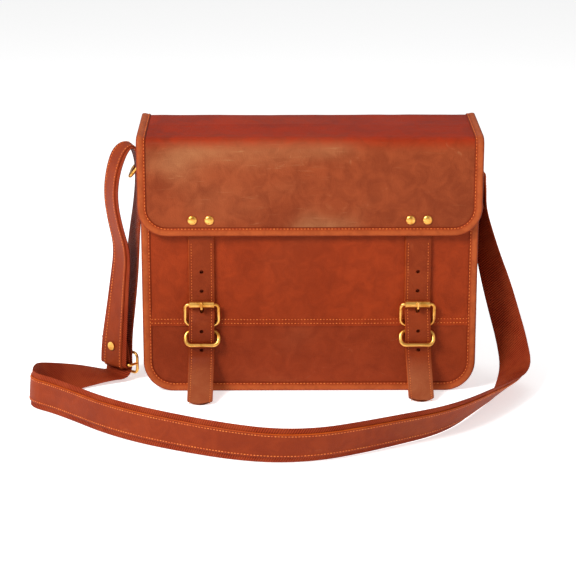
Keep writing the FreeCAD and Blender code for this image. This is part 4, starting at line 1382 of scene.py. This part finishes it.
FLAP_RIVET = (5.0, 2.3)
TAB_RIVET = (3.2, 1.1)
TAB_RIVET_X, TAB_RIVET_Y, TAB_RIVET_Z, TAB_SHANK = 170.3, 8.5, 212.0, 1.2
rollers, flap_rivets, tab_rivets = {}, {}, {}
for label, side in SIDES:
    rollers[label] = roller("roller_" + label, side)
    shank = (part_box("flap_rivets_" + label)[1][1] - FLAP_Y) / MM
    places = [(side * BUCKLE_X + x, FLAP_Y / MM, RIVET_Z) for x in (-RIVET_X, RIVET_X)]
    flap_rivets[label] = rivets("rivets_flap_" + label, places, (0, -1, 0), *FLAP_RIVET, shank)
    places = [(side * TAB_RIVET_X, y, TAB_RIVET_Z) for y in (-TAB_RIVET_Y, TAB_RIVET_Y)]
    tab_rivets[label] = rivets("rivets_tab_" + label, places, (side, 0, 0), *TAB_RIVET, TAB_SHANK)
print("rivets", [len(p.data.vertices) for p in flap_rivets.values()])

# %% [markdown]
# ## Hard pieces
# The prongs and the strap's own rivets keep the frame's exact shapes, and take the brass. The stiff board in
# the base also keeps its own.


# %% Materials of the frame's own pieces
def finish_node(node, material):
    piece = bpy.data.objects[node]
    piece.data.materials.clear()
    piece.data.materials.append(material)


node_material = {"brass": brass, "lining_cloth": lining_cloth, "board": board, "webbing": webbing,
                 "strap_leather": strap_leather, "leather": panel_leather, "binding": binding_leather}
for part in frame["record"]["subparts"]:
    finish_node(part["node"], node_material[part["material_slot"]])

# %% [markdown]
# ## What moves with what
# Most pieces are set on an empty for the body that they ride on. The flap's leather crosses two hinges: the
# pieces that cross a hinge, and the closure straps, are set on no body, and only their transforms are baked.
# The frame's pieces that each one replaces are hidden.


# %% Riding
def put(piece, body, slot, *nodes):
    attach(piece, body)
    if nodes:
        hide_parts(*nodes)


for piece, slot, node in (
    (front_lower, "leather", "front_panel_lower"), (front_upper, "leather", "front_panel_upper"),
    (back, "leather", "back_panel"), (gusset, "leather", "gusset"), (divider, "leather", "divider"),
    (binding_front, "binding", "front_binding"), (binding_back, "binding", "back_binding"),
    (binding_mouth, "binding", "mouth_binding"), (lining["front"], "lining_cloth", "lining"),
    (tab_rivets["left"], "brass", "side_tab_rivets"),
):
    put(piece, "bag", slot, node)
for piece, slot in (
    (stitch_front, "binding"), (stitch_back, "binding"), (stitch_mouth, "binding"), (stitch_seam, "binding"),
    (stitch_mount, "binding"), (stitch_divider, "leather"), (lining["back"], "lining_cloth"),
    (lining["strip"], "lining_cloth"), (tab_rivets["right"], "brass"),
):
    put(piece, "bag", slot)
for label, side in SIDES:
    put(tabs[label], "bag", "strap_leather", "side_tab_" + label)
    put(buckle_tabs[label], "bag", "strap_leather", "chape_" + label)
    put(tab_stitch[label], "bag", "strap_leather")
    put(rollers[label], "buckle_roller_" + label, "brass", "buckle_roller_" + label)
    put(flap_rivets[label], "flap_front", "brass", "flap_rivets_" + label)
for node, piece in brass_rings.items():
    put(piece, node, "brass", node)
put(slider_loop, "shoulder_strap", "brass", "strap_slider")
put(slider_bridge, "shoulder_strap", "brass")


def bend(piece, first, second, start, end, slot, *nodes):
    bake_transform(piece)
    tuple(start)
    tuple(end)
    if nodes:
        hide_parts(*nodes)


BACK_EDGE = {"start": (0, 0.051, 0.270), "end": (0, 0.036, 0.280)}
FRONT_FOLD = {"start": (0, -0.043, 0.275), "end": (0, -0.057, 0.255)}
bend(flap_back, "bag", "flap", BACK_EDGE["start"], BACK_EDGE["end"], "leather", "flap_mount")
for piece in (binding_top_left, binding_top_right, stitch_top):
    bend(piece, "bag", "flap", BACK_EDGE["start"], BACK_EDGE["end"], "binding")
bend(flap_cover, "flap", "flap_front", FRONT_FOLD["start"], FRONT_FOLD["end"], "leather",
     "flap_top", "flap_front", "flap_top_lining", "flap_front_lining")
bend(binding_flap, "flap", "flap_front", FRONT_FOLD["start"], FRONT_FOLD["end"], "binding",
     "flap_front_binding", "flap_top_binding")
bend(stitch_flap, "flap", "flap_front", FRONT_FOLD["start"], FRONT_FOLD["end"], "binding")
for label, side in SIDES:
    start, end = (side * CLOSURE_X, -0.05, 0.171), (side * CLOSURE_X, -0.05, 0.158)
    body = "closure_strap_" + label
    bend(closure[label], "flap_front", body, start, end, "strap_leather",
         body, "closure_strap_anchor_" + label)
    bend(closure_stitch[label], "flap_front", body, start, end, "strap_leather")
put(strap_webbing, "shoulder_strap", "webbing", "strap_webbing")
put(strap_overlay, "shoulder_strap", "strap_leather", "strap_overlay")
put(stitch_overlay, "shoulder_strap", "strap_leather")

# %% [markdown]
# ## The floor
# A plain pale floor under the bag.

# %% Floor
tuple(middle_line[0])
floor_mesh = bpy.data.meshes.new("floor")
floor_mesh.from_pydata([(-6, -6, 0), (6, -6, 0), (6, 6, 0), (-6, 6, 0)], [], [(0, 1, 2, 3)])
floor = bpy.data.objects.new("floor", floor_mesh)
bpy.context.scene.collection.objects.link(floor)
floor_paint = Shader("floor_paint", Roughness=0.9, Specular_IOR_Level=0.1,
                     Base_Color=shade(0.90, 0.90, 0.90), Emission_Color=shade(1, 1, 1),
                     Emission_Strength=0.55)
floor_mesh.materials.append(floor_paint.material)
